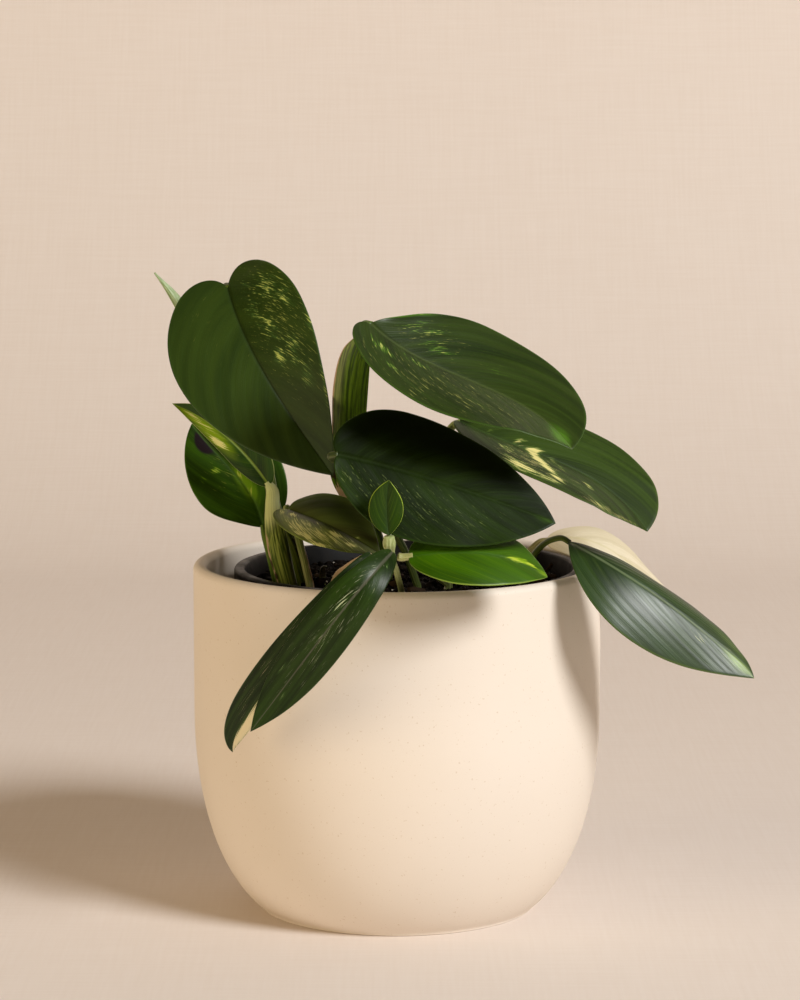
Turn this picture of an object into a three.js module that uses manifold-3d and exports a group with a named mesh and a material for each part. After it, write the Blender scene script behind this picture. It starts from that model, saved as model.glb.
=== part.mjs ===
// Potted monstera standleyana: a variegated climbing aroid in a black grower's pot, standing in a
// cream ceramic pot. Millimetres, +Z up. The origin is the centre of the ceramic pot's foot, on the
// surface that it stands on. The front is -Y, the right is +X.

import * as THREE from "three";
import { mergeVertices } from "three/addons/utils/BufferGeometryUtils.js";
import Module from "manifold-3d";

const wasm = await Module();
wasm.setup();

// Ceramic pot
const POT_RADIUS = 70;
const POT_HEIGHT = 120;
const POT_FOOT_RADIUS = 48;
const POT_FOOT_BEVEL = 0.8;
const POT_BELLY_HEIGHT = 69; // the wall is upright above this height
const POT_WALL = 4.7;
const POT_FLOOR = 7;
const POT_FLOOR_ROUNDING = 3.5; // inside, where the wall meets the floor
const POT_BELLY_LEAD = [12.7, 10.8]; // how far the wall runs out and up as it leaves the foot
const POT_BELLY_RISE = 34; // length of the handle that brings the wall upright
const POT_BELLY_STEPS = 9;
const POT_LIP_STEPS = 6;
const POT_SIDES = 60;

// Grower's pot: 12 cm across its rolled rim, a little to the right of the ceramic pot's axis
const GROWER_X = 4;
const GROWER_RIM_RADIUS = 60;
const GROWER_RIM_TOP = 118.3;
const GROWER_RIM_DEPTH = 4.5;
const GROWER_RIM_ROUNDING = 1.2;
const GROWER_TOP_RADIUS = 57.6;
const GROWER_FOOT_RADIUS = 41;
const GROWER_WALL = 1.2;
const GROWER_FLOOR = 1.5;
const GROWER_SIDES = 44;
const DRAIN_HOLES = 6;
const DRAIN_RADIUS = 3.5;
const DRAIN_CIRCLE = 27;

// Soil
const SOIL_TOP = 112;
const SOIL_RELIEF = 0.9;
const SOIL_RINGS = [1, 0.87, 0.74, 0.61, 0.48, 0.34, 0.18, 0]; // of its radius, from the edge in
const SOIL_WAVES = [
  { length: 41, direction: 0.4, phase: 0.9 },
  { length: 33, direction: 1.9, phase: 2.2 },
  { length: 15, direction: 0.9, phase: 1.7 },
];
const STEM_DEPTH = 14; // how far a stem stands in the soil
const STEM_UPRIGHT = 2; // how far a stem stays upright above it
const CLEARANCE = 0.3; // between pieces that rest on or in each other
const HOLE_CLEARANCE = 0.45; // round a stem in the soil
const HOLE_SIDES = 12;

// Leaves
const BLADE_THICKNESS = 0.7;
const BLADE_ROWS = 12;
const BLADE_COLUMNS = 4;
const VEIN_CROWDING = 1.5; // above 1, side veins leave the midrib closer together near the stalk
const VEIN_BEND = 1.15; // above 1, side veins run out first and bend towards the tip later
const BACK_SHARE = 0.45; // of the side veins, those that end behind a half's widest place
const LOBE_PULL = 2.2; // how far the margin's handle draws it back, in lobes
const LOBE_SPREAD = 0.3; // and out, in widths
const SHOULDER = 0.62; // how straight the margin runs into the widest place from behind
const TIP_LEAD = 0.16; // how late the margin turns in to the tip
const STALK_SIDES = 8;
const KNEE = [1.6, 3.2]; // where a stalk turns up under its blade: back from the base, and below it
const JOINT_LEAD = 2.6; // how far behind the base a stalk already runs in line with the midrib

const vector = (p) => new THREE.Vector3(p[0], p[1], p[2]);

// A half blade: its greatest width, how far its lobe reaches behind the stalk, where along the
// midrib it is widest (0 to 1), and the angle in degrees by which it is folded up from flat.
const half = (width, lobe, widest, fold) => ({ width, lobe, widest, fold });

// Every leaf: midrib is a Bezier curve from the stalk to the tip, face the way its upper side looks.
// point is the half's fullness near the tip and full its fullness past the widest place (0 to 1),
// curl how far the margin turns down in millimetres, and twist the turn of the tip in degrees.
// left is the half on the left of someone who walks along the upper side towards the tip.
const LEAVES = [
  {
    name: "leaf_upper_left",
    color: 0x1f3a1c,
    midrib: [[-57, -12, 215], [-51, -31, 195.5], [-36.5, -38.5, 176], [-21, -40, 154.5]],
    face: [-0.23, -0.93, 0.29],
    left: half(26, 6.5, 0.3, 22),
    right: half(27.5, 6.5, 0.32, 14),
    curl: 1.5,
    point: 0.3,
    full: 0.43,
    twist: 4,
  },
  {
    name: "leaf_upper_right",
    color: 0x22401c,
    midrib: [[-8.4, -75.3, 208], [9.4, -82.8, 190.2], [41.8, -76.3, 188.8], [54.9, -96.9, 170.1]],
    face: [0.17, -0.7, 0.69],
    left: half(23.4, -0.5, 0.44, 10),
    right: half(22, 4.2, 0.4, 16),
    curl: 2.1,
    point: 0.57,
    full: 0.62,
    twist: -9,
  },
  {
    name: "leaf_middle",
    color: 0x16260f,
    midrib: [[-19.1, -80, 166.6], [4.8, -79.5, 161.4], [27.8, -80.5, 153.2], [50.7, -81.9, 144.6]],
    face: [0.1, -0.91, 0.4],
    left: half(20.1, 3.1, 0.25, 4),
    right: half(21.5, 1.4, 0.38, 4),
    curl: 2.9,
    point: 0.49,
    full: 0.46,
    twist: -4,
  },
  {
    name: "leaf_right",
    color: 0x2c4a20,
    midrib: [[20.5, -40.4, 172.8], [41, -48.5, 162.4], [68.6, -43.2, 159], [81.9, -55.6, 138.1]],
    face: [0.24, -0.65, 0.72],
    left: half(18.6, 3.1, 0.61, 11),
    right: half(17.1, 2.5, 0.56, 21),
    curl: 1.8,
    point: 0.55,
    full: 0.6,
    twist: -4,
  },
  {
    name: "leaf_far_right",
    color: 0x2c4a24,
    midrib: [[56.6, -41.6, 132.9], [77.6, -61.2, 124.2], [99.8, -46.5, 106.4], [117.8, -53, 88.8]],
    face: [0.51, -0.35, 0.79],
    left: half(9.8, -1.9, 0.6, 16.4),
    right: half(15.9, -2.3, 0.44, -28),
    curl: 3.9,
    point: 0.42,
    full: 0.51,
    twist: 12.4,
  },
  {
    name: "leaf_white",
    color: 0xe9dcc0,
    midrib: [[51.5, -9.5, 128.5], [74, -18.5, 134.5], [83, -12.5, 113], [98.5, -8.5, 105]],
    face: [0.39, -0.49, 0.78],
    left: half(12.5, 1.5, 0.39, 0),
    right: half(11, 1.2, 0.41, -2),
    curl: 2.1,
    point: 0.33,
    full: 0.49,
    twist: -8,
  },
  {
    name: "leaf_front",
    color: 0x24421c,
    midrib: [[-1.4, -92.2, 136.9], [-14.6, -120, 127.1], [-31.4, -91, 99], [-46.9, -88, 78.1]],
    face: [0.07, -0.95, 0.3],
    left: half(8.3, 1.6, 0.49, 5),
    right: half(8.3, 1.3, 0.5, 5),
    curl: 1.8,
    point: 0.39,
    full: 0.56,
    twist: 0,
  },
  {
    name: "leaf_front_under",
    color: 0x24401c,
    midrib: [[-8.2, -91, 136.1], [-19.2, -114, 122.9], [-55.4, -77, 80.2], [-53.5, -68, 67.2]],
    face: [0.02, -0.92, 0.39],
    left: half(4.9, 2.4, 0.48, 10),
    right: half(6.9, 2.1, 0.55, 10),
    curl: 1.4,
    point: 0.66,
    full: 0.69,
    twist: -2,
  },
  {
    name: "leaf_young",
    color: 0x3c6a14,
    midrib: [[-2.4, -92, 142.2], [-3.3, -91.5, 147.9], [-3.3, -91.5, 154.2], [-2.4, -93, 160]],
    face: [-0.11, -0.99, -0.05],
    left: half(6.3, -0.4, 0.47, 24),
    right: half(5.8, -0.4, 0.47, 25),
    curl: 2,
    point: 0.37,
    full: 0.52,
    twist: 0,
    rows: 8,
    columns: 3,
  },
  {
    name: "leaf_bright",
    color: 0x3f7a10,
    midrib: [[4.3, -86, 134.7], [20.1, -87, 137.5], [34.9, -86, 136.1], [48.3, -80.3, 127]],
    face: [0.21, -0.63, 0.75],
    left: half(12.9, 1.2, 0.45, 5),
    right: half(12.9, 1.5, 0.42, 3),
    curl: 1.9,
    point: 0.39,
    full: 0.45,
    twist: -2,
  },
  {
    name: "leaf_mottled",
    color: 0x2e4420,
    midrib: [[-36.5, -14, 139.5], [-27, -22.5, 137.5], [-16.5, -27.5, 133.5], [-5.5, -30, 126.5]],
    face: [0.06, -0.55, 0.83],
    left: half(14, 2.2, 0.4, 15),
    right: half(14, 3.5, 0.41, 18),
    curl: 1.8,
    point: 0.29,
    full: 0.46,
    twist: 3,
  },
  {
    name: "leaf_left_low",
    color: 0x20391a,
    midrib: [[-46, 0.5, 131.5], [-49.5, 4.5, 146.5], [-62.5, 7.5, 155], [-71, 11.5, 166]],
    face: [-0.05, -0.96, 0.26],
    left: half(16, -0.3, 0.46, 11),
    right: half(16, 0.8, 0.46, 10),
    curl: 2,
    point: 0.43,
    full: 0.51,
    twist: 0,
  },
  {
    name: "leaf_left_curled",
    color: 0x4f7418,
    midrib: [[-44, -7.5, 147.5], [-52, -7.5, 160], [-62.5, -7.5, 169.5], [-76.5, -6.5, 175]],
    face: [-0.1, -0.99, -0.08],
    left: half(6.3, 0.9, 0.34, 25),
    right: half(8.7, 0.9, 0.33, 23),
    curl: 2.3,
    point: 0.29,
    full: 0.48,
    twist: 0,
    rows: 10,
    columns: 3,
  },
];

// Every stalk, from the soil up. foot is where it comes out of the soil, path is where it goes from
// there, and widths and depths are its section's size from side to side and from front to back, at
// the foot, at each point of the path and at the two points of its joint with the leaf that it
// carries. "end" runs on into the midrib, "under" comes up against the blade's underside.
const STALKS = [
  {
    name: "stalk_upper_left",
    leaf: "leaf_upper_left",
    joins: "under",
    foot: [-32, -9],
    path: [
      [-35.5, -7, 126],
      [-41, -5.5, 137],
      [-44, -3, 150],
      [-50, 0.5, 175],
      [-56, 0, 199],
      [-58, -4, 214],
    ],
    widths: [4.6, 4.4, 4.2, 4.2, 3.8, 3.4, 3.2, 3, 2.6],
    depths: [4.2, 4, 3.8, 3.6, 3.2, 3, 3, 3, 2.6],
    color: 0x4f6a26,
  },
  {
    name: "stalk_upper_right",
    leaf: "leaf_upper_right",
    joins: "under",
    foot: [-4, 1],
    path: [
      [-7.5, 1, 127],
      [-14, -1, 141],
      [-17.3, -8, 151],
      [-16.2, -27, 168.5],
      [-15, -50, 186],
      [-13.2, -64, 197],
      [-11, -72, 203.5],
    ],
    widths: [5.2, 6, 8.6, 10.8, 11.2, 11.4, 9.2, 4.2, 2.9, 2.5],
    depths: [5, 4.4, 3.6, 3, 2.8, 2.6, 2.6, 2.6, 2.6, 2.4],
    color: 0x3f5c1c,
  },
  {
    name: "stalk_middle",
    leaf: "leaf_middle",
    joins: "under",
    foot: [7, -18],
    path: [[3, -24, 126], [-5, -42, 143], [-13.5, -65, 158.5]],
    widths: [2.6, 2.6, 2.8, 2.8, 2.6, 2.4],
    depths: [2.6, 2.6, 2.6, 2.6, 2.6, 2.4],
    color: 0x6b6f3a,
  },
  {
    name: "stalk_right",
    leaf: "leaf_right",
    joins: "under",
    foot: [17.5, -13],
    path: [[12.5, -15, 119], [11, -20, 131], [13.5, -31, 153], [16.5, -39.5, 168]],
    widths: [3, 3, 2.8, 2.6, 2.6, 2.6, 2.4],
    depths: [3, 3, 2.8, 2.6, 2.6, 2.6, 2.4],
    color: 0x7d8a4c,
  },
  {
    name: "stalk_far_right",
    leaf: "leaf_far_right",
    joins: "end",
    foot: [43.5, -13],
    path: [[44.9, -20, 121.8], [47.3, -27, 127.7], [50.7, -35, 132]],
    widths: [2.6, 2.4, 2.2, 2, 2, 1.8],
    depths: [2.6, 2.4, 2.2, 2, 2, 1.8],
    color: 0x3a4a22,
  },
  {
    name: "stalk_white",
    leaf: "leaf_white",
    joins: "end",
    foot: [41, -3],
    path: [[43.5, -4, 121], [47, -6.5, 125.5]],
    widths: [3, 3.2, 3, 2.2, 1.8],
    depths: [2.6, 2.6, 2.4, 2, 1.8],
    color: 0xa9a878,
  },
  {
    name: "shoot_centre",
    foot: [2, -47],
    path: [
      [1.2, -54, 119.5],
      [0.5, -62, 123.5],
      [-0.3, -71, 128],
      [-1.4, -81, 132.5],
      [-2.2, -88.5, 137],
      [-2.4, -91, 139.5],
      [-2.4, -92, 141.7],
    ],
    widths: [2.2, 2, 2, 2, 2.2, 3.2, 4.2, 3.4],
    depths: [2.2, 2, 2, 2, 2.2, 3, 3.8, 2.8],
    color: 0x9aa56a,
  },
  {
    name: "stalk_bright",
    leaf: "leaf_bright",
    joins: "end",
    path: [[0.4, -86.1, 134.5]],
    widths: [2.6, 2.6, 2],
    depths: [2.6, 2.6, 2],
    color: 0x9a9a62,
  },
  {
    name: "stalk_front_under",
    leaf: "leaf_front_under",
    joins: "under",
    foot: [-22, -27],
    path: [
      [-19.5, -34, 120],
      [-16.5, -48, 124.5],
      [-13, -62, 129],
      [-10.8, -73, 132],
      [-9, -81.5, 134.2],
    ],
    widths: [3, 3.2, 3.2, 3, 2.6, 2.3, 2, 1.7],
    depths: [2.4, 2.2, 2, 2, 2, 2, 1.9, 1.7],
    color: 0xa08a68,
  },
  {
    name: "stalk_mottled",
    leaf: "leaf_mottled",
    joins: "under",
    foot: [-29.5, -16.5],
    path: [[-32, -14, 124], [-35, -10.5, 134], [-37.5, -9.5, 139.5]],
    widths: [2.8, 2.6, 2.6, 2.6, 2.4, 2.2],
    depths: [2.8, 2.6, 2.4, 2.4, 2.2, 2.2],
    color: 0x8c9058,
  },
  {
    name: "stalk_left_low",
    leaf: "leaf_left_low",
    joins: "end",
    foot: [-41, -7],
    path: [[-43.5, -4, 123]],
    widths: [3.4, 3, 2.6, 2],
    depths: [3.2, 2.8, 2.4, 2],
    color: 0x55702a,
  },
  {
    name: "stalk_left_curled",
    leaf: "leaf_left_curled",
    joins: "end",
    foot: [-37, -16.5],
    path: [[-40, -14.5, 125], [-41.8, -11.8, 134.5], [-42.4, -9.2, 140.5]],
    widths: [6.4, 7.4, 6.4, 5, 4.2, 2.4],
    depths: [4.6, 4, 2.6, 2.2, 2, 1.8],
    color: 0x8f9c58,
  },
  {
    name: "new_leaf",
    foot: [-36, -0.5],
    path: [[-42, 6.5, 134], [-52, 13, 156], [-64, 9, 185], [-75, 2, 209], [-82.5, 0, 219]],
    widths: [3.4, 3.2, 3, 4, 3.6, 0.6],
    depths: [3.4, 3.2, 3, 4, 3.6, 0.6],
    color: 0x9db07c,
  },
  {
    name: "sprout",
    foot: [-25.5, -9.5],
    path: [[-25.5, -9.5, 116.5], [-25, -10, 119], [-24, -10, 119.5]],
    widths: [2.2, 2.2, 1.6, 0.8],
    depths: [2.2, 2.2, 1.6, 0.8],
    color: 0x6f7a3c,
  },
];

function material(color, roughness) {
  return new THREE.MeshStandardMaterial({ color, roughness, metalness: 0 });
}

function named(name, geometry, surface) {
  const mesh = new THREE.Mesh(geometry, surface);
  mesh.name = name;
  return mesh;
}

// Keeps only the positions and joins the vertices that coincide.
function welded(geometry) {
  for (const attribute of ["normal", "uv"]) geometry.deleteAttribute(attribute);
  return mergeVertices(geometry, 1e-4);
}

function solidOf(geometry) {
  const merged = welded(geometry);
  return new wasm.Manifold(
    new wasm.Mesh({
      numProp: 3,
      vertProperties: merged.getAttribute("position").array,
      triVerts: new Uint32Array(merged.index.array),
    }),
  );
}

function geometryOf(solid) {
  const mesh = solid.getMesh();
  return new THREE.BufferGeometry()
    .setAttribute("position", new THREE.BufferAttribute(new Float32Array(mesh.vertProperties), 3))
    .setIndex(new THREE.BufferAttribute(new Uint32Array(mesh.triVerts), 1));
}

// A body of revolution about +Z from [radius, height] points that go up the outside.
function turned(profile, sides) {
  const points = profile.map(([r, z]) => new THREE.Vector2(r, z));
  return new THREE.LatheGeometry(points, sides).rotateX(Math.PI / 2);
}

// The ceramic pot's outside from its foot to the upright wall, as a Bezier curve of [radius, height].
function bellyCurve(inset) {
  const radius = POT_RADIUS - inset;
  const foot = POT_FOOT_RADIUS - inset;
  return new THREE.CubicBezierCurve(
    new THREE.Vector2(foot, POT_FOOT_BEVEL),
    new THREE.Vector2(foot + POT_BELLY_LEAD[0], POT_BELLY_LEAD[1]),
    new THREE.Vector2(radius, POT_BELLY_HEIGHT - POT_BELLY_RISE),
    new THREE.Vector2(radius, POT_BELLY_HEIGHT),
  );
}

function ceramicPot() {
  const outside = bellyCurve(0).getPoints(POT_BELLY_STEPS).map((p) => [p.x, p.y]);
  const lip = POT_WALL / 2;
  const lipCentre = POT_RADIUS - lip;
  const rounding = [];
  for (let i = 0; i <= POT_LIP_STEPS; i += 1) {
    const angle = (Math.PI * i) / POT_LIP_STEPS;
    rounding.push([lipCentre + lip * Math.cos(angle), POT_HEIGHT - lip + lip * Math.sin(angle)]);
  }
  const inside = bellyCurve(POT_WALL)
    .getPoints(POT_BELLY_STEPS)
    .map((p) => [p.x, p.y])
    .filter((p) => p[1] > POT_FLOOR + POT_FLOOR_ROUNDING / 2)
    .reverse();
  const floorEdge = inside[inside.length - 1];
  return turned(
    [
      [0, 0],
      [POT_FOOT_RADIUS - POT_FOOT_BEVEL, 0],
      ...outside,
      ...rounding,
      ...inside,
      [floorEdge[0] - POT_FLOOR_ROUNDING, POT_FLOOR],
      [0, POT_FLOOR],
    ],
    POT_SIDES,
  );
}

const GROWER_FOOT_Z = POT_FLOOR + CLEARANCE;
const GROWER_FLOOR_Z = GROWER_FOOT_Z + GROWER_FLOOR;

// The grower's pot's wall leans out evenly from its foot to its rim.
function growerRadius(z) {
  const rise = (z - GROWER_FOOT_Z) / (GROWER_RIM_TOP - GROWER_FOOT_Z);
  return GROWER_FOOT_RADIUS + rise * (GROWER_TOP_RADIUS - GROWER_FOOT_RADIUS);
}

function growerPot() {
  const rimFoot = GROWER_RIM_TOP - GROWER_RIM_DEPTH;
  const round = GROWER_RIM_ROUNDING;
  const inner = (z) => growerRadius(z) - GROWER_WALL;
  const shell = solidOf(
    turned(
      [
        [0, GROWER_FOOT_Z],
        [GROWER_FOOT_RADIUS, GROWER_FOOT_Z],
        [growerRadius(rimFoot), rimFoot],
        [GROWER_RIM_RADIUS - round / 2, rimFoot],
        [GROWER_RIM_RADIUS, rimFoot + round / 2],
        [GROWER_RIM_RADIUS, GROWER_RIM_TOP - round],
        [GROWER_RIM_RADIUS - round / 3, GROWER_RIM_TOP - round / 4],
        [GROWER_RIM_RADIUS - round, GROWER_RIM_TOP],
        [GROWER_TOP_RADIUS, GROWER_RIM_TOP - round / 4],
        [inner(GROWER_RIM_TOP), GROWER_RIM_TOP - round],
        [inner(GROWER_FLOOR_Z), GROWER_FLOOR_Z],
        [0, GROWER_FLOOR_Z],
      ],
      GROWER_SIDES,
    ),
  );
  let pot = shell;
  for (let i = 0; i < DRAIN_HOLES; i += 1) {
    const angle = (2 * Math.PI * i) / DRAIN_HOLES;
    const hole = new THREE.CylinderGeometry(DRAIN_RADIUS, DRAIN_RADIUS, 4 * GROWER_FLOOR, HOLE_SIDES)
      .rotateX(Math.PI / 2)
      .translate(DRAIN_CIRCLE * Math.cos(angle), DRAIN_CIRCLE * Math.sin(angle), GROWER_FOOT_Z);
    pot = pot.subtract(solidOf(hole));
  }
  return geometryOf(pot).translate(GROWER_X, 0, 0);
}

// Height of the soil's surface above its mean: the mean of a few sine waves that cross.
function soilRelief(x, y) {
  let sum = 0;
  for (const { length, direction, phase } of SOIL_WAVES) {
    const along = x * Math.cos(direction) + y * Math.sin(direction);
    sum += Math.sin((2 * Math.PI * along) / length + phase);
  }
  return (SOIL_RELIEF * sum) / SOIL_WAVES.length;
}

function soil() {
  const side = (z) => growerRadius(z) - GROWER_WALL - CLEARANCE;
  const foot = GROWER_FLOOR_Z + CLEARANCE;
  const rim = side(SOIL_TOP);
  const body = turned(
    [[0, foot], [side(foot), foot], ...SOIL_RINGS.map((k) => [rim * k, SOIL_TOP])],
    GROWER_SIDES,
  );
  const places = body.getAttribute("position");
  for (let i = 0; i < places.count; i += 1) {
    if (places.getZ(i) < SOIL_TOP - SOIL_RELIEF) continue;
    const x = places.getX(i);
    const y = places.getY(i);
    const inwards = 1 - Math.pow(Math.hypot(x, y) / rim, 8);
    places.setZ(i, SOIL_TOP + inwards * soilRelief(x, y));
  }
  let ground = solidOf(body.translate(GROWER_X, 0, 0));
  for (const stalk of STALKS.filter((one) => one.foot)) {
    const depth = 2 * STEM_DEPTH;
    const radius = Math.max(stalk.widths[0], stalk.depths[0]) / 2 + HOLE_CLEARANCE;
    const hole = new THREE.CylinderGeometry(radius, radius, depth, HOLE_SIDES)
      .rotateX(Math.PI / 2)
      .translate(stalk.foot[0], stalk.foot[1], SOIL_TOP - STEM_DEPTH - CLEARANCE + depth / 2);
    ground = ground.subtract(solidOf(hole));
  }
  return geometryOf(ground);
}

// The midrib's curve, with its frame anywhere on it: along, the blade's normal, and across.
class Midrib {
  constructor(leaf) {
    this.curve = new THREE.CubicBezierCurve3(...leaf.midrib.map(vector));
    this.curve.arcLengthDivisions = 60;
    this.length = this.curve.getLength();
    this.face = vector(leaf.face);
    this.twist = THREE.MathUtils.degToRad(leaf.twist);
  }

  frame(distance) {
    const u = THREE.MathUtils.clamp(distance / this.length, 0, 1);
    const along = this.curve.getTangentAt(u);
    const normal = this.face.clone().addScaledVector(along, -along.dot(this.face)).normalize();
    normal.applyAxisAngle(along, this.twist * u);
    const across = new THREE.Vector3().crossVectors(normal, along);
    const origin = this.curve.getPointAt(u).addScaledVector(along, Math.min(distance, 0));
    return { origin, along, normal, across };
  }
}

// The flat outline of a half blade: a curve round the lobe to the widest place, and one from there
// to the tip. share runs from 0 at the stalk to 1 at the tip; a point's x is its distance along the
// midrib and its y its distance out from it.
function outline(length, leaf, side) {
  const { width, lobe, widest } = side;
  const middle = widest * length;
  const rest = length - middle;
  const back = new THREE.CubicBezierCurve(
    new THREE.Vector2(0, 0),
    new THREE.Vector2(-LOBE_PULL * lobe, LOBE_SPREAD * width),
    new THREE.Vector2(middle - SHOULDER * (middle + lobe), width),
    new THREE.Vector2(middle, width),
  );
  const front = new THREE.CubicBezierCurve(
    new THREE.Vector2(middle, width),
    new THREE.Vector2(middle + leaf.full * rest, width),
    new THREE.Vector2(length - TIP_LEAD * rest, leaf.point * width),
    new THREE.Vector2(length, 0),
  );
  return (share) =>
    share <= BACK_SHARE
      ? back.getPoint(share / BACK_SHARE)
      : front.getPoint((share - BACK_SHARE) / (1 - BACK_SHARE));
}

// A blade's middle surface. Each half is a grid of lines that leave the midrib as the side veins do
// and end on the outline. A point's height over the midrib's plane is its distance out times the
// sine of the fold, less curl times the square of its share of the width.
function bladeSurface(leaf) {
  const rows = leaf.rows || BLADE_ROWS;
  const columns = leaf.columns || BLADE_COLUMNS;
  const midrib = new Midrib(leaf);
  const places = [];
  const index = [];
  const put = (p) => places.push(p.x, p.y, p.z) / 3 - 1;

  function place(along, out, side, sign) {
    const { origin, normal, across } = midrib.frame(along);
    const fold = THREE.MathUtils.degToRad(side.fold);
    const share = out / side.width;
    const rise = out * Math.sin(fold) - leaf.curl * share * share;
    return origin.addScaledVector(across, sign * out * Math.cos(fold)).addScaledVector(normal, rise);
  }

  const veinStart = (row) => midrib.length * Math.pow(row / rows, VEIN_CROWDING);
  const spine = [];
  for (let row = 0; row <= rows; row += 1) spine.push(put(midrib.frame(veinStart(row)).origin));
  for (const [side, sign] of [[leaf.left, 1], [leaf.right, -1]]) {
    const edge = outline(midrib.length, leaf, side);
    const grid = spine.map((first, row) => {
      const vein = [first];
      if (row === 0 || row === rows) return vein;
      const start = veinStart(row);
      const end = edge(row / rows);
      for (let column = 1; column <= columns; column += 1) {
        const s = column / columns;
        const along = start + (end.x - start) * Math.pow(s, VEIN_BEND);
        vein.push(put(place(along, end.y * s, side, sign)));
      }
      return vein;
    });
    const face = (a, b, c) => (sign > 0 ? index.push(a, b, c) : index.push(a, c, b));
    for (let row = 0; row < rows; row += 1) {
      for (let column = 0; column < columns; column += 1) {
        const near = grid[row];
        const far = grid[row + 1];
        if (near.length > 1) face(near[column], far[Math.min(column, far.length - 1)], near[column + 1]);
        if (far.length > 1) face(far[column], far[column + 1], near[Math.min(column + 1, near.length - 1)]);
      }
    }
  }
  const geometry = new THREE.BufferGeometry()
    .setAttribute("position", new THREE.Float32BufferAttribute(places, 3))
    .setIndex(index);
  geometry.computeVertexNormals();
  return geometry;
}

// Gives a surface a thickness: one copy half of it up along the normals, one down, and a rim.
function thickened(surface, thickness) {
  const places = surface.getAttribute("position");
  const normals = surface.getAttribute("normal");
  const count = places.count;
  const index = Array.from(surface.index.array);
  const shell = [];
  for (const offset of [thickness / 2, -thickness / 2]) {
    for (let i = 0; i < count; i += 1) {
      shell.push(
        places.getX(i) + offset * normals.getX(i),
        places.getY(i) + offset * normals.getY(i),
        places.getZ(i) + offset * normals.getZ(i),
      );
    }
  }
  const faces = [];
  const edges = new Map();
  for (let i = 0; i < index.length; i += 3) {
    const [a, b, c] = index.slice(i, i + 3);
    faces.push(a, b, c, c + count, b + count, a + count);
    for (const [from, to] of [[a, b], [b, c], [c, a]]) {
      if (edges.has(`${to},${from}`)) edges.delete(`${to},${from}`);
      else edges.set(`${from},${to}`, [from, to]);
    }
  }
  for (const [from, to] of edges.values()) {
    faces.push(from, from + count, to + count, from, to + count, to);
  }
  return new THREE.BufferGeometry()
    .setAttribute("position", new THREE.Float32BufferAttribute(shell, 3))
    .setIndex(faces);
}

// Where a stalk meets its leaf: the points that its path ends with.
function stalkEnd(stalk, leaf) {
  const { origin, along, normal } = new Midrib(leaf).frame(0);
  const from = (back, below) =>
    origin.clone().addScaledVector(along, -back).addScaledVector(normal, -below);
  const seat = BLADE_THICKNESS / 2 + 1.5 * CLEARANCE;
  if (stalk.joins === "under") return [from(...KNEE), from(CLEARANCE, seat)];
  return [from(JOINT_LEAD, 0), from(2 * CLEARANCE, 0)];
}

// The points that a stalk's path runs through above the soil.
function stalkPoints(stalk) {
  const leaf = LEAVES.find((one) => one.name === stalk.leaf);
  const foot = stalk.foot ? [[...stalk.foot, SOIL_TOP + STEM_UPRIGHT]] : [];
  return [...foot, ...stalk.path].map(vector).concat(leaf ? stalkEnd(stalk, leaf) : []);
}

// A stalk: an oval section carried along its path, its size read off widths and depths on the way.
// A foot in the soil is upright.
function stalkGeometry(stalk) {
  const points = stalkPoints(stalk);
  const curve = new THREE.CatmullRomCurve3(points, false, "centripetal");
  const spans = points.length - 1;
  const up = new THREE.Vector3(0, 0, 1);
  const front = new THREE.Vector3(0, -1, 0);
  const sections = [];
  if (stalk.foot) {
    const bottom = new THREE.Vector3(...stalk.foot, SOIL_TOP - STEM_DEPTH);
    sections.push({ centre: bottom, along: up, at: 0 }, { centre: points[0], along: up, at: 0 });
  }
  for (let step = sections.length ? 1 : 0; step <= spans * 2; step += 1) {
    const u = step / (spans * 2);
    sections.push({ centre: curve.getPoint(u), along: curve.getTangent(u), at: step / 2 });
  }
  const steps = sections.length - 1;
  const places = [];
  const index = [];
  const size = (list, at) => {
    const i = Math.min(Math.floor(at), list.length - 2);
    return THREE.MathUtils.lerp(list[i], list[i + 1], at - i) / 2;
  };
  for (const { centre, along, at } of sections) {
    const across = new THREE.Vector3().crossVectors(front, along).normalize();
    const through = new THREE.Vector3().crossVectors(along, across);
    const width = size(stalk.widths, at);
    const depth = size(stalk.depths, at);
    for (let side = 0; side < STALK_SIDES; side += 1) {
      const angle = (2 * Math.PI * side) / STALK_SIDES;
      const p = centre
        .clone()
        .addScaledVector(across, width * Math.cos(angle))
        .addScaledVector(through, depth * Math.sin(angle));
      places.push(p.x, p.y, p.z);
    }
  }
  for (let step = 0; step < steps; step += 1) {
    for (let side = 0; side < STALK_SIDES; side += 1) {
      const a = step * STALK_SIDES + side;
      const b = step * STALK_SIDES + ((side + 1) % STALK_SIDES);
      index.push(a, b, b + STALK_SIDES, a, b + STALK_SIDES, a + STALK_SIDES);
    }
  }
  const last = steps * STALK_SIDES;
  for (let side = 1; side < STALK_SIDES - 1; side += 1) {
    index.push(0, side + 1, side, last, last + side, last + side + 1);
  }
  return new THREE.BufferGeometry()
    .setAttribute("position", new THREE.Float32BufferAttribute(places, 3))
    .setIndex(index);
}

const plant = new THREE.Group();
for (const leaf of LEAVES) {
  const blade = thickened(bladeSurface(leaf), BLADE_THICKNESS);
  plant.add(named(leaf.name, blade, material(leaf.color, 0.4)));
}
for (const stalk of STALKS) {
  plant.add(named(stalk.name, stalkGeometry(stalk), material(stalk.color, 0.55)));
}

const pottedPlant = new THREE.Group();
pottedPlant.add(
  named("pot", ceramicPot(), material(0xe8d8bc, 0.6)),
  named("grower_pot", growerPot(), material(0x1a191c, 0.45)),
  named("soil", soil(), material(0x1d1712, 0.95)),
  plant,
);

export default pottedPlant;
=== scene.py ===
"""The dressed model of a potted monstera standleyana: a cream ceramic pot, the black grower's pot
in it, potting mix, and the plant with its variegated leaves on their stalks.

Shapes are worked out in millimetres and become metres when their mesh is made. Up is +Z, the front
is -Y and the right is +X."""

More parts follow.
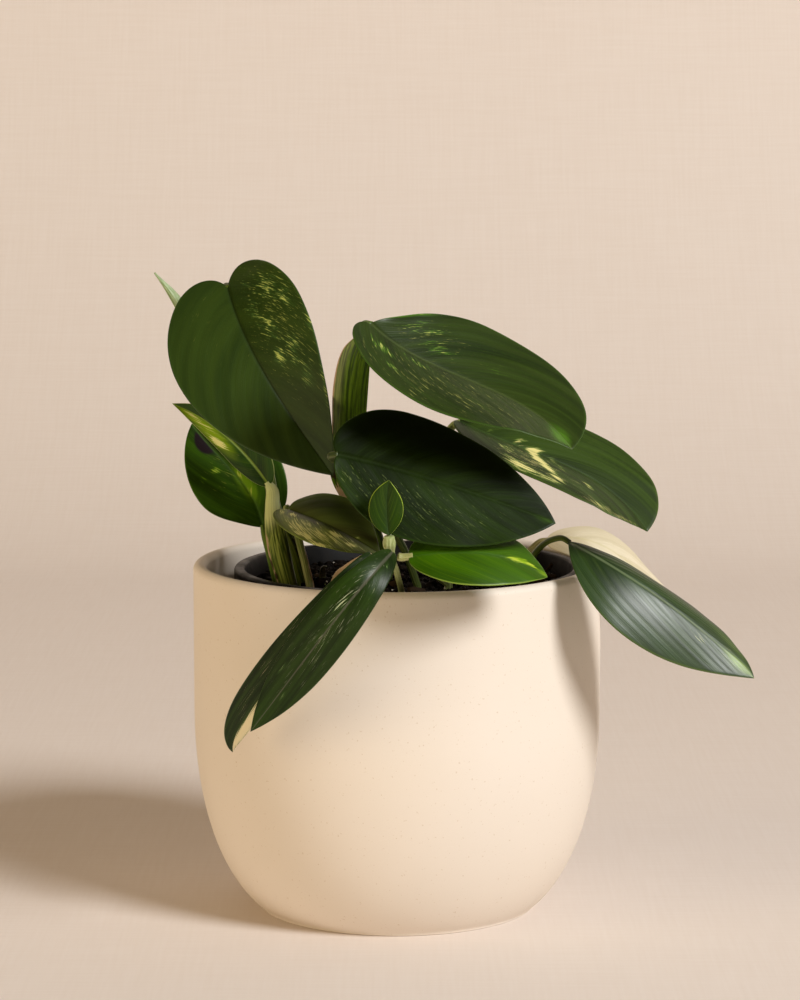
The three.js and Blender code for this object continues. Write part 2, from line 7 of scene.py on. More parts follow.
import math

import bpy
import numpy as np
from bpy.props import FloatProperty, FloatVectorProperty, IntProperty, PointerProperty
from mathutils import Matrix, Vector


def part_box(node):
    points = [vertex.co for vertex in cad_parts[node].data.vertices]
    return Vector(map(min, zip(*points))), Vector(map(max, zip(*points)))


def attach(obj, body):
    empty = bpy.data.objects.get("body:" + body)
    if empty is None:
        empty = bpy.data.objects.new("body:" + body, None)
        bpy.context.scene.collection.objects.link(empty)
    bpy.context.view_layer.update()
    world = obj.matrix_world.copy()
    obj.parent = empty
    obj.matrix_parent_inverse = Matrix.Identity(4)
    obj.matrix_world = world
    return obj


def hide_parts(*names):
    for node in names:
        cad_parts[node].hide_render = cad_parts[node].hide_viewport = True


bl_info = {
    "name": "Potted monstera standleyana",
    "version": (1, 0, 0),
    "blender": (4, 5, 0),
    "location": "View3D > Sidebar > Plant",
    "description": "Builds the pots, the potting mix, the stalks and the leaves of a monstera",
    "category": "Add Mesh",
}

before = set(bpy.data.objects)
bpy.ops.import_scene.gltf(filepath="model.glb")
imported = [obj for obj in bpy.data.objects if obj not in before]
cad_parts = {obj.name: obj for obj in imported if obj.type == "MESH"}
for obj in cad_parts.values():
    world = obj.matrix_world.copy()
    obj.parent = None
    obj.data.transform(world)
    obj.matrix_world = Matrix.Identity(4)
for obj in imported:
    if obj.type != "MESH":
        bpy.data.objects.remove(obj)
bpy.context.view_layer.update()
POT_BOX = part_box("pot")

MM = 0.001
ICO = (1 + math.sqrt(5)) / 2

# Ceramic pot
POT_FOOT_RADIUS = 48
POT_FOOT_BEVEL = 0.8
POT_BELLY_HEIGHT = 69  # the wall is upright above this height
POT_FLOOR = 7
POT_FLOOR_ROUNDING = 3.5
POT_FLOOR_LEADS = (2.4, 1.4)
POT_BELLY_LEAD = (12.7, 10.8)
POT_BELLY_RISE = 34
BELLY_STEPS = 44
UPRIGHT_STEPS = 12

# Grower's pot
GROWER_X = 4
GROWER_RIM_RADIUS = 60
GROWER_RIM_TOP = 118.3
GROWER_RIM_DEPTH = 4.5
GROWER_TOP_RADIUS = 57.6
GROWER_FOOT_RADIUS = 41
GROWER_WALL = 1.2
GROWER_FLOOR = 1.5
GROWER_FOOT_Z = 7.3
GROWER_ROUNDINGS = (0.6, 0.5, 0.6, 1.1, 1.0)  # foot, under the rim, its edge, its top, its inside
DRAIN_HOLES = 6
DRAIN_RADIUS = 3.5
DRAIN_CIRCLE = 27

# Soil
SOIL_TOP = 112
SOIL_RELIEF = 0.9
SOIL_WAVES = ((41, 0.4, 0.9), (33, 1.9, 2.2), (15, 0.9, 1.7))  # length, direction, phase
SOIL_ROUGHNESS = {"waves": 60, "shortest": 2.2, "longest": 11, "seed": 3}
SOIL_RINGS = 84
SOIL_SIDES = 300
GRAINS = (  # kind, smallest, largest, tones, height over the soil by size, seed, stretch
    ("grains", 0.9, 3.4, (0.05, 0.72), 0.18, 11, 1.0),
    ("bark_chips", 2.5, 5.5, (0.55, 0.86), 0.2, 12, 1.9),
    ("perlite_grains", 0.8, 2.2, (0.95, 1.0), 0.3, 13, 1.0),
)
TWIGS = (  # start, end, radius, tone
    ((50, 6, 114), (53.5, 5, 118.5), 0.7, 0.8),
    ((46, 10, 113.5), (55, -2, 114.5), 0.8, 0.75),
    ((16, -44, 113.5), (34, -38, 115), 0.7, 0.8),
    ((24, -36, 113.5), (40, -30, 114.5), 0.6, 0.7),
    ((-12, 30, 113.5), (8, 36, 114.5), 0.8, 0.7),
    ((-20, 6, 113.5), (-12, 22, 115), 0.6, 0.82),
)
TWIG_BEND = (0.8, -0.6, 0.3)
TWIG_ENDS = (0.45, 6)  # width at the ends, and how fast it grows from there
GRAIN_SHAKE = (0.72, 1.15)  # least and greatest distance of a corner from the middle
GRAIN_THIN = 0.6  # least width of a kind by its depth
GRAIN_SUNK = 0.75  # height by width, once it lies
STEM_DEPTH = 14
STEM_UPRIGHT = 2
CLEARANCE = 0.3

# Leaves
VEIN_CROWDING = 1.5
VEIN_BEND = 1.15
BACK_SHARE = 0.45
VEIN_LEAN = 1.1
LOBE_PULL = 2.2
LOBE_SPREAD = 0.3
SHOULDER = 0.62
TIP_LEAD = 0.16
MIDRIB_STEPS = 600
BLADE_GRID = (150, 32)  # lines t, and columns from the midrib to near the margin
COLUMN_CROWDING = 1.25
MARGIN_COLUMNS = (0.965, 0.982, 0.993, 1)
HALF_MIDDLES = (-0.55, 0.55)
FULL_WIDTH = 22  # relief is less on a leaf whose halves are narrower
LEAN_GROWTH = 0.3
VEIN_WOBBLE = (0.1, 4, 6)  # amount, turn along the leaf, spread of its start
SIDE_SHIFT = 0.3  # how far one half's side veins are ahead of the other's
VEINS_ACROSS = (0.02, 0.22, 0.72, 1.0)
VEINS_ALONG = (0.0, 0.08, 0.86, 1.0)
VEINS_OF_SMOOTH = 0.3
PILLOW = (0.7, 0.62)  # the power of its sine, and its mean
VEIN_SHARPNESS = 9
MARGIN_WAVES = ((2.4, 1.0, 0.31), (5.3, 0.6, -0.2))  # times along the leaf, amount, shift by side
MARGIN_RIPPLE = 0.22
RIPPLE_POWER = 2.5
RIPPLE_ALONG = (0, 0.1, 0.85, 1)
SLIMMING = 0.7
EDGE_ROUNDING = 0.45
RIB_GROOVE = (0.06, 0.2, 0.3, 0.5)  # depth at the tip and more at the base, and width likewise
RIB_KEEL = (0.1, 1.0, 0.4, 0.8)
MARK_KINDS = ("cream", "fleck", "light", "dark", "bruise", "dry", "brown")

# Stalks
JOINTS = {  # the last two points before the blade's base, as [back, below]
    "under": ((1.6, 3.2), (-0.6, 0.25)),
    "end": ((2.6, 0), (-0.8, 0.1)),
}
STEM_STEPS = 18
FOOT_STEPS = 9
FLATNESS = (1.3, 2.4)  # width by depth from which a section counts as flat, and is wholly so
ROUND_RIBS = (0.035, 11, 0.7)  # height, number, phase
FLAT_RIBS = (0.09, 19, 0)
ROLL_SEAM = (0.1, 0.35, 0.04)  # place round the rolled leaf, turn along it, width of its step
ROLL_SIZE = (1.08, 0.44)

# Stage, in metres
AIM = (0, 0, 0.1)
KEY_PLACE = (1.83, -1.77, 1.69)
KEY_COLOUR = (1, 1, 1)
CARD_PLACE = (-1.5, -0.9, 0.35)
CARD_SIZE = 1.2
CARD_COLOUR = (1, 0.81, 0.55)
SKY_COLOUR = (1.0, 0.6, 0.15, 1.0)
CAMERA_PLACE = (0.001, -1.15, 0.2975)
CAMERA_DIP = 7.75  # degrees below level
SENSOR_WIDTH = 36
LINEN_BEND = ((0.7, 0.4), 0.4)  # centre and radius of the sweep from the table to the wall
LINEN_FRONT = ((-2.0, 0.0), (-0.5, 0.0), (0.3, 0.0))
LINEN_BACK = ((1.1, 1.2), (1.1, 2.6))
LINEN_WIDTH = 4.4

# Every leaf as in the solid: its midrib's four handles, the direction that its face looks in, its
# left and right halves as [width, lobe, widest, fold] and its shape as [curl, point, full, twist],
# then its number of side veins, and relief, lean, smooth and fineness where its veins and its grid
# differ from the others'. greens are its dark and its mid green, light the tissue with little green
# in it, cream the tissue with none, rib and edge the midrib's and the margin's colour and how much
# it shows, gloss how strongly it reflects. Each kind's marks are [t, c, length in t, length in c,
# amount]: t runs from the stalk to the tip, and c across the blade from -1, the right margin, over
# the midrib to 1, the left margin.
# The light marks lay on the light colour and the dark marks the leaves' deep green. On some leaves
# these are paler and darker tissue; on others they are painted highlights, painted light through
# thin tissue and painted shadows, as noted at each.
LEAVES = {
    "leaf_upper_left": {
        "midrib": ((-57, -12, 215), (-51, -31, 195.5), (-36.5, -38.5, 176), (-21, -40, 154.5)),
        "face": (-0.23, -0.93, 0.29), "left": (26, 6.5, 0.3, 22), "right": (27.5, 6.5, 0.32, 14),
        "shape": (1.5, 0.3, 0.43, 4), "veins": 10, "relief": 0.5, "lean": 1.15,
        "greens": ("25350f", "2f4013"), "light": "42602a", "cream": "b2bb60",
        "rib": ("1a250d", 0.5), "gloss": 0.35,
        "marks": {
            "cream": (
                (0.22, 0.5, 0.05, 0.2, 0.5), (0.33, 0.68, 0.1, 0.2, 0.62),
                (0.41, 0.8, 0.06, 0.14, 0.66), (0.37, 0.3, 0.08, 0.14, 0.55),
                (0.47, 0.42, 0.08, 0.16, 0.56), (0.57, 0.36, 0.04, 0.1, 0.85),
                (0.57, 0.6, 0.06, 0.16, 0.6), (0.66, 0.7, 0.05, 0.14, 0.65),
                (0.52, 0.98, 0.05, 0.06, 0.8), (0.7, 0.97, 0.06, 0.06, 0.8),
            ),
            "fleck": ((0.45, 0.6, 0.3, 0.5, 0.5), (0.3, -0.5, 0.3, 0.5, 0.12)),
            # The light mark at the tip is a painted highlight.
            "light": ((0.97, 0.0, 0.05, 0.8, 0.4),),
        },
    },
    "leaf_upper_right": {
        "midrib": (
            (-8.4, -75.3, 208), (9.4, -82.8, 190.2), (41.8, -76.3, 188.8), (54.9, -96.9, 170.1),
        ),
        "face": (0.17, -0.7, 0.69), "left": (23.4, -0.5, 0.44, 10), "right": (22, 4.2, 0.4, 16),
        "shape": (2.1, 0.57, 0.62, -9), "veins": 10, "relief": 0.6, "greens": ("1e2b0b", "2f3e13"),
        "light": "4f7a1e", "cream": "b4b764", "rib": ("5d6a3c", 0.35), "gloss": 0.35,
        "marks": {
            # The first light mark is the paler band along the left margin. The second, at the tip,
            # is a painted highlight.
            "light": ((0.16, 0.97, 0.14, 0.1, 0.9), (0.95, -0.2, 0.06, 0.7, 1.0)),
            "cream": (
                (0.11, 0.92, 0.05, 0.08, 0.5), (0.24, 0.98, 0.05, 0.06, 0.6),
                (0.28, 0.55, 0.12, 0.2, 0.45), (0.42, 0.28, 0.08, 0.12, 0.5),
                (0.6, 0.38, 0.05, 0.1, 0.4), (0.38, -0.14, 0.06, 0.08, 0.55),
                (0.24, -0.42, 0.07, 0.14, 0.75), (0.31, -0.62, 0.04, 0.08, 0.7),
            ),
            "fleck": ((0.5, -0.5, 0.4, 0.5, 0.4), (0.35, 0.4, 0.2, 0.3, 0.35)),
        },
    },
    "leaf_middle": {
        "midrib": (
            (-19.1, -80, 166.6), (4.8, -79.5, 161.4), (27.8, -80.5, 153.2), (50.7, -81.9, 144.6),
        ),
        "face": (0.1, -0.91, 0.4), "left": (20.1, 3.1, 0.25, 4), "right": (21.5, 1.4, 0.38, 4),
        "shape": (2.9, 0.49, 0.46, -4), "veins": 9, "greens": ("142004", "21320a"),
        "light": "3f5f1c", "cream": "7f9050", "rib": ("2e3f1e", 0.3), "gloss": 0.15,
        "marks": {
            # The dark mark is a painted shadow: the shadow of leaf_upper_right over the left half
            # of the blade.
            "dark": ((0.5, 0.75, 0.5, 0.45, 1.0),),
            "fleck": ((0.45, -0.55, 0.4, 0.5, 0.3), (0.2, -0.6, 0.1, 0.4, 0.42)),
            # The light mark at the tip is a painted highlight.
            "light": ((0.97, 0.0, 0.05, 0.8, 0.5),),
        },
    },
    "leaf_right": {
        "midrib": (
            (20.5, -40.4, 172.8), (41, -48.5, 162.4), (68.6, -43.2, 159), (81.9, -55.6, 138.1),
        ),
        "face": (0.24, -0.65, 0.72), "left": (18.6, 3.1, 0.61, 11), "right": (17.1, 2.5, 0.56, 21),
        "shape": (1.8, 0.55, 0.6, -4), "veins": 9, "relief": 0.6, "greens": ("1f2e0a", "344815"),
        "light": "6b8436", "cream": "e9dd90", "rib": ("53683a", 0.3), "gloss": 0.3,
        "marks": {
            "cream": (
                (0.5, -0.02, 0.03, 0.12, 1.7), (0.49, -0.25, 0.03, 0.14, 1.7),
                (0.49, -0.45, 0.03, 0.14, 1.3), (0.49, -0.66, 0.025, 0.12, 1.0),
                (0.41, 0.12, 0.02, 0.1, 0.75), (0.58, -0.06, 0.02, 0.1, 0.8),
                (0.59, -0.22, 0.02, 0.1, 0.7), (0.27, 0.12, 0.02, 0.1, 0.5),
                (0.36, -0.28, 0.03, 0.12, 0.7), (0.37, -0.75, 0.05, 0.2, 1.1),
                (0.44, -0.8, 0.05, 0.1, 0.8), (0.67, -0.46, 0.02, 0.1, 0.75),
                (0.66, -0.9, 0.06, 0.06, 0.8),
            ),
            "fleck": (
                (0.66, -0.9, 0.12, 0.1, 0.8), (0.8, -0.94, 0.1, 0.06, 0.8),
                (0.45, -0.4, 0.15, 0.4, 0.6),
            ),
            # The dark mark at the base is painted shade, where the shadow of leaf_upper_right
            # falls.
            "dark": ((0.06, 0.0, 0.1, 0.8, 0.6),),
        },
    },
    "leaf_far_right": {
        "midrib": (
            (56.6, -41.6, 132.9), (77.6, -61.2, 124.2), (99.8, -46.5, 106.4), (117.8, -53, 88.8),
        ),
        "face": (0.51, -0.35, 0.79), "left": (9.8, -1.9, 0.6, 16.4),
        "right": (15.9, -2.3, 0.44, -28), "shape": (3.9, 0.42, 0.51, 12.4), "veins": 8,
        "relief": 1.7, "greens": ("1e3010", "2c421c"), "light": "7d9a3a", "cream": "c9cf8a",
        "rib": ("8d9c72", 0.35), "gloss": 0.6,
        "marks": {
            "fleck": ((0.77, -0.27, 0.05, 0.15, 0.6), (0.92, 0.0, 0.1, 0.7, 0.5)),
            # The first light mark, at the tip, is a painted highlight.
            "light": ((0.95, 0.0, 0.08, 0.8, 0.8), (0.8, 0.8, 0.2, 0.3, 0.35)),
        },
    },
    "leaf_white": {
        "midrib": ((51.5, -9.5, 128.5), (74, -18.5, 134.5), (83, -12.5, 113), (98.5, -8.5, 105)),
        "face": (0.39, -0.49, 0.78), "left": (12.5, 1.5, 0.39, 0), "right": (11, 1.2, 0.41, -2),
        "shape": (2.1, 0.33, 0.49, -8), "veins": 7, "greens": ("cfc3a0", "e0d5b8"),
        "light": "e8dcc2", "cream": "eee4d0", "rib": ("cfc490", 0.4), "gloss": 0.3,
        "marks": {"fleck": ((0.5, 0.0, 0.6, 1.0, 0.5),)},
    },
    "leaf_front": {
        "midrib": (
            (-1.4, -92.2, 136.9), (-14.6, -120, 127.1), (-31.4, -91, 99), (-46.9, -88, 78.1),
        ),
        "face": (0.07, -0.95, 0.3), "left": (8.3, 1.6, 0.49, 5), "right": (8.3, 1.3, 0.5, 5),
        "shape": (1.8, 0.39, 0.56, 0), "veins": 7, "greens": ("162406", "263a0e"),
        "light": "47662a", "cream": "ccd3ac", "rib": ("5b5a4c", 0.6), "gloss": 0.22,
        "marks": {
            "cream": (
                (0.44, -0.2, 0.05, 0.14, 0.8), (0.59, 0.25, 0.02, 0.1, 0.5),
                (0.68, -0.59, 0.03, 0.14, 0.55), (0.82, 0.35, 0.02, 0.12, 0.55),
                (0.19, 0.39, 0.03, 0.14, 0.55),
            ),
            "fleck": (
                (0.42, -0.2, 0.12, 0.3, 0.5), (0.6, 0.1, 0.1, 0.4, 0.4), (0.5, 0.0, 0.5, 1.0, 0.25),
            ),
        },
    },
    "leaf_front_under": {
        "midrib": (
            (-8.2, -91, 136.1), (-19.2, -114, 122.9), (-55.4, -77, 80.2), (-53.5, -68, 67.2),
        ),
        "face": (0.02, -0.92, 0.39), "left": (4.9, 2.4, 0.48, 10), "right": (6.9, 2.1, 0.55, 10),
        "shape": (1.4, 0.66, 0.69, -2), "veins": 7, "greens": ("16240a", "293c14"),
        "light": "57762e", "cream": "ece0b8", "rib": ("3c4a2c", 0.4), "gloss": 0.22,
        "marks": {
            "cream": ((0.75, 0.7, 0.4, 0.42, 1.6), (0.95, 0.5, 0.1, 0.4, 1.4)),
            "fleck": ((0.5, -0.4, 0.5, 0.5, 0.3),),
        },
    },
    "leaf_young": {
        "midrib": (
            (-2.4, -92, 142.2), (-3.3, -91.5, 147.9), (-3.3, -91.5, 154.2), (-2.4, -93, 160),
        ),
        "face": (-0.11, -0.99, -0.05), "left": (6.3, -0.4, 0.47, 24),
        "right": (5.8, -0.4, 0.47, 25), "shape": (2, 0.37, 0.52, 0), "veins": 6,
        "fineness": (90, 22), "greens": ("162c00", "203a00"), "light": "7fa21c", "cream": "b8c860",
        "rib": ("22380a", 0.8), "edge": ("9fb73c", 1.0), "gloss": 0.25,
        # The dark mark is painted shade down the middle, in the fold between the halves.
        "marks": {"dark": ((0.5, 0.0, 0.4, 0.3, 0.3),)},
    },
    "leaf_bright": {
        "midrib": ((4.3, -86, 134.7), (20.1, -87, 137.5), (34.9, -86, 136.1), (48.3, -80.3, 127)),
        "face": (0.21, -0.63, 0.75), "left": (12.9, 1.2, 0.45, 5), "right": (12.9, 1.5, 0.42, 3),
        "shape": (1.9, 0.39, 0.45, -2), "veins": 7, "smooth": True, "greens": ("294800", "385e00"),
        "light": "8fb01a", "cream": "b9c63e", "rib": ("2f5606", 0.5), "edge": ("a3bd4c", 0.5),
        "gloss": 0.35,
        "marks": {
            # The second light mark, at the tip, is a painted highlight. The first light mark and
            # both cream marks make the yellow-green streak near the tip: partly paler tissue,
            # partly painted light.
            "light": ((0.84, 0.2, 0.07, 0.2, 0.9), (0.98, 0.0, 0.06, 0.9, 0.8)),
            "cream": ((0.8, 0.11, 0.05, 0.16, 1.3), (0.88, 0.3, 0.05, 0.16, 1.3)),
            # The dark mark is a painted shadow: the shadow of leaf_middle over the left half near
            # the base.
            "dark": ((0.25, 0.7, 0.3, 0.5, 0.4),),
        },
    },
    "leaf_mottled": {
        "midrib": (
            (-36.5, -14, 139.5), (-27, -22.5, 137.5), (-16.5, -27.5, 133.5), (-5.5, -30, 126.5),
        ),
        "face": (0.06, -0.55, 0.83), "left": (14, 2.2, 0.4, 15), "right": (14, 3.5, 0.41, 18),
        "shape": (1.8, 0.29, 0.46, 3), "veins": 7, "greens": ("40441e", "54622a"),
        "light": "8fa24c", "cream": "f4f4a0", "rib": ("2a3018", 0.5), "gloss": 0.3,
        "marks": {
            "dark": ((0.5, 0.62, 0.6, 0.5, 0.75),),
            "light": ((0.45, -0.6, 0.5, 0.5, 0.75),),
            "cream": (
                (0.5, -0.6, 0.4, 0.4, 0.9), (0.26, -0.3, 0.06, 0.16, 1.25),
                (0.46, -0.82, 0.08, 0.14, 1.25), (0.56, -0.95, 0.08, 0.08, 1.25),
                (0.66, -0.33, 0.06, 0.14, 1.25), (0.76, -0.61, 0.06, 0.14, 1.3),
                (0.06, -0.58, 0.05, 0.2, 0.8), (0.81, 0.14, 0.02, 0.12, 0.7),
            ),
        },
    },
    "leaf_left_low": {
        "midrib": ((-46, 0.5, 131.5), (-49.5, 4.5, 146.5), (-62.5, 7.5, 155), (-71, 11.5, 166)),
        "face": (-0.05, -0.96, 0.26), "left": (16, -0.3, 0.46, 11), "right": (16, 0.8, 0.46, 10),
        "shape": (2, 0.43, 0.51, 0), "veins": 7, "greens": ("1d3106", "30500a"), "light": "6a9418",
        "cream": "a9b848", "rib": ("3d5a1c", 0.6), "gloss": 0.2,
        "marks": {
            "bruise": ((0.86, 0.27, 0.07, 0.3, 1.0),),
            "light": ((0.5, -0.06, 0.16, 0.16, 1.2),),
            "cream": (
                (0.45, -0.05, 0.05, 0.1, 0.95), (0.57, -0.08, 0.04, 0.08, 0.8),
                (0.66, 0.35, 0.03, 0.1, 0.65), (0.6, 0.67, 0.03, 0.1, 0.65),
            ),
            "fleck": ((0.6, 0.2, 0.2, 0.5, 0.3),),
            "dark": ((0.8, -0.1, 0.12, 0.4, 0.6),),
        },
    },
    "leaf_left_curled": {
        "midrib": ((-44, -7.5, 147.5), (-52, -7.5, 160), (-62.5, -7.5, 169.5), (-76.5, -6.5, 175)),
        "face": (-0.1, -0.99, -0.08), "left": (6.3, 0.9, 0.34, 25), "right": (8.7, 0.9, 0.33, 23),
        "shape": (2.3, 0.29, 0.48, 0), "veins": 6, "fineness": (110, 24),
        "greens": ("1c3205", "284806"), "light": "84a012", "cream": "e3dd8c",
        "rib": ("8fa63a", 0.7), "edge": ("c2cc7a", 0.7), "gloss": 0.3,
        "marks": {
            # The light mark is painted light shining through the thin left half, laid over its
            # yellow-green tissue.
            "light": ((0.72, 0.5, 0.34, 0.5, 1.0),),
            "dark": ((0.3, 0.2, 0.25, 0.8, 0.45),),
            "cream": ((0.59, 0.65, 0.06, 0.24, 1.5), (0.82, 0.4, 0.12, 0.3, 1.0)),
            "fleck": ((0.7, 0.5, 0.3, 0.4, 0.4),),
        },
    },
}

# Every stalk as in the solid: its foot, its path, and its section's widths on the way, and its
# depths where they aren't the same. thin is how far the section's sides thin out to wings, cup how
# far they turn back, roll how far a rolled leaf is drawn in. base and stripe are the colours of its
# rind. Each kind's marks are [height from 0 to 1, angle in degrees from the left over the front,
# length in height, width in degrees, amount].
STALKS = {
    "stalk_upper_left": {
        "leaf": "leaf_upper_left", "joins": "under", "foot": (-32, -9),
        "path": (
            (-35.5, -7, 126), (-41, -5.5, 137), (-44, -3, 150), (-50, 0.5, 175), (-56, 0, 199),
            (-58, -4, 214),
        ),
        "widths": (4.6, 4.4, 4.2, 4.2, 3.8, 3.4, 3.2, 3, 2.6),
        "depths": (4.2, 4, 3.8, 3.6, 3.2, 3, 3, 3, 2.6), "base": "3c4f1a", "stripe": "6f7c30",
        "marks": {
            "brown": ((0.2, 150, 0.06, 60, 0.8),),
            "dry": ((0.12, 180, 0.1, 30, 1.0),),
        },
    },
    "stalk_upper_right": {
        "leaf": "leaf_upper_right", "joins": "under", "foot": (-4, 1),
        "path": (
            (-7.5, 1, 127), (-14, -1, 141), (-17.3, -8, 151), (-16.2, -27, 168.5), (-15, -50, 186),
            (-13.2, -64, 197), (-11, -72, 203.5),
        ),
        "widths": (5.2, 6, 8.6, 10.8, 11.2, 11.4, 9.2, 4.2, 2.9, 2.5),
        "depths": (5, 4.4, 3.6, 3, 2.8, 2.6, 2.6, 2.6, 2.6, 2.4), "thin": 0.7, "cup": 0.05,
        "base": "284008", "stripe": "587614",
        "marks": {
            "light": ((0.75, 40, 0.3, 30, 0.4),),
            "dry": ((0.68, 5, 0.26, 18, 1.6), (0.3, 40, 0.08, 90, 0.9)),
            "brown": ((0.4, 30, 0.02, 60, 1.0),),
        },
    },
    "stalk_middle": {
        "leaf": "leaf_middle", "joins": "under", "foot": (7, -18),
        "path": ((3, -24, 126), (-5, -42, 143), (-13.5, -65, 158.5)),
        "widths": (2.6, 2.6, 2.8, 2.8, 2.6, 2.4), "depths": (2.6, 2.6, 2.6, 2.6, 2.6, 2.4),
        "base": "2f3d18", "stripe": "55602e",
    },
    "stalk_right": {
        "leaf": "leaf_right", "joins": "under", "foot": (17.5, -13),
        "path": ((12.5, -15, 119), (11, -20, 131), (13.5, -31, 153), (16.5, -39.5, 168)),
        "widths": (3, 3, 2.8, 2.6, 2.6, 2.6, 2.4), "base": "6a7540", "stripe": "8f9858",
    },
    "stalk_far_right": {
        "leaf": "leaf_far_right", "joins": "end", "foot": (43.5, -13),
        "path": ((44.9, -20, 121.8), (47.3, -27, 127.7), (50.7, -35, 132)),
        "widths": (2.6, 2.4, 2.2, 2, 2, 1.8), "base": "36461c", "stripe": "56652c",
    },
    "stalk_white": {
        "leaf": "leaf_white", "joins": "end", "foot": (41, -3),
        "path": ((43.5, -4, 121), (47, -6.5, 125.5)), "widths": (3, 3.2, 3, 2.2, 1.8),
        "depths": (2.6, 2.6, 2.4, 2, 1.8), "base": "8f8c60", "stripe": "b5ae80",
        "marks": {"dry": ((0.6, 0, 0.2, 60, 0.7),)},
    },
    "shoot_centre": {
        "foot": (2, -47),
        "path": (
            (1.2, -54, 119.5), (0.5, -62, 123.5), (-0.3, -71, 128), (-1.4, -81, 132.5),
            (-2.2, -88.5, 137), (-2.4, -91, 139.5), (-2.4, -92, 141.7),
        ),
        "widths": (2.2, 2, 2, 2, 2.2, 3.2, 4.2, 3.4), "depths": (2.2, 2, 2, 2, 2.2, 3, 3.8, 2.8),
        "base": "8e995c", "stripe": "aab47c",
    },
    "stalk_bright": {
        "leaf": "leaf_bright", "joins": "end", "path": ((0.4, -86.1, 134.5),),
        "widths": (2.6, 2.6, 2), "base": "8a8b50", "stripe": "a5a468",
        "marks": {"brown": ((0.55, 90, 0.12, 50, 0.5),)},
    },
    "stalk_front_under": {
        "leaf": "leaf_front_under", "joins": "under", "foot": (-22, -27),
        "path": (
            (-19.5, -34, 120), (-16.5, -48, 124.5), (-13, -62, 129), (-10.8, -73, 132),
            (-9, -81.5, 134.2),
        ),
        "widths": (3, 3.2, 3.2, 3, 2.6, 2.3, 2, 1.7), "depths": (2.4, 2.2, 2, 2, 2, 2, 1.9, 1.7),
        "base": "9a8460", "stripe": "b39f7c",
        "marks": {"dry": ((0.5, 90, 0.5, 120, 1.0),)},
    },
    "stalk_mottled": {
        "leaf": "leaf_mottled", "joins": "under", "foot": (-29.5, -16.5),
        "path": ((-32, -14, 124), (-35, -10.5, 134), (-37.5, -9.5, 139.5)),
        "widths": (2.8, 2.6, 2.6, 2.6, 2.4, 2.2), "depths": (2.8, 2.6, 2.4, 2.4, 2.2, 2.2),
        "base": "5c6a30", "stripe": "9a9c66",
        "marks": {"dry": ((0.3, 180, 0.3, 60, 0.9),)},
    },
    "stalk_left_low": {
        "leaf": "leaf_left_low", "joins": "end", "foot": (-41, -7), "path": ((-43.5, -4, 123),),
        "widths": (3.4, 3, 2.6, 2), "depths": (3.2, 2.8, 2.4, 2), "base": "46601e",
        "stripe": "6f8636",
    },
    "stalk_left_curled": {
        "leaf": "leaf_left_curled", "joins": "end", "foot": (-37, -16.5),
        "path": ((-40, -14.5, 125), (-41.8, -11.8, 134.5), (-42.4, -9.2, 140.5)),
        "widths": (6.4, 7.4, 6.4, 5, 4.2, 2.4), "depths": (4.6, 4, 2.6, 2.2, 2, 1.8), "thin": 0.5,
        "base": "44581a", "stripe": "8f9c48",
        "marks": {
            "light": ((0.95, 70, 0.2, 120, 2.4),),
            "dry": ((0.6, 0, 0.07, 40, 1.2), (0.45, 0, 0.25, 34, 1.3)),
            "brown": ((0.46, 10, 0.06, 30, 1.0), (0.38, 25, 0.03, 30, 0.9)),
            "dark": ((0.4, 150, 0.4, 40, 0.8),),
        },
    },
    "new_leaf": {
        "foot": (-36, -0.5),
        "path": ((-42, 6.5, 134), (-52, 13, 156), (-64, 9, 185), (-75, 2, 209), (-82.5, 0, 219)),
        "widths": (3.4, 3.2, 3, 4, 3.6, 0.6), "roll": 0.5, "base": "7f9560", "stripe": "a4b487",
        "marks": {"dark": ((0.15, 90, 0.25, 400, 0.5),)},
    },
    "sprout": {
        "foot": (-25.5, -9.5), "path": ((-25.5, -9.5, 116.5), (-25, -10, 119), (-24, -10, 119.5)),
        "widths": (2.2, 2.2, 1.6, 0.8), "base": "4f5c26", "stripe": "8a8450",
        "marks": {"brown": ((0.9, 90, 0.2, 400, 0.7),)},
    },
}

# The slots of the leaves that aren't leaf_green, and of the stalks that aren't stalk_pale
SLOTS = {
    "stalk_green": (
        "stalk_upper_left", "stalk_upper_right", "stalk_far_right", "stalk_left_low", "sprout",
    ),
    "leaf_light": ("new_leaf", "leaf_young", "leaf_bright", "leaf_left_curled"),
    "leaf_cream": ("leaf_white",),
}


def linear(code):
    """The linear colour of an sRGB hex value."""
    srgb = np.array([int(code[i : i + 2], 16) for i in (0, 2, 4)]) / 255
    flat = np.where(srgb <= 0.04045, srgb / 12.92, ((srgb + 0.055) / 1.055) ** 2.4)
    return (*flat.tolist(), 1.0)


def colour(name, description, code):
    """A colour that a user may change."""
    shade = {"subtype": "COLOR", "size": 4, "min": 0, "max": 1, "default": linear(code)}
    return FloatVectorProperty(name=name, description=description, **shade)


def measure(name, description, default, least=0.0):
    """A length that a user may change."""
    return FloatProperty(
        name=name, description=description, unit="LENGTH", default=default, min=least
    )


def fraction(name, description, default):
    """A share of one that a user may change."""
    return FloatProperty(
        name=name, description=description, subtype="FACTOR", default=default, min=0, max=1
    )


# Shapes


def unit(vectors):
    """Vectors brought to length 1."""
    return vectors / np.linalg.norm(vectors, axis=-1, keepdims=True)


def ease(x, low, high):
    """0 below low, 1 above high, and 3x^2 - 2x^3 between."""
    share = np.clip((x - low) / (high - low), 0, 1)
    return share * share * (3 - 2 * share)


def hill(x, rise, top, fall, foot):
    """0 below rise, 1 from top to fall, and 0 over foot, eased between."""
    return ease(x, rise, top) * (1 - ease(x, fall, foot))


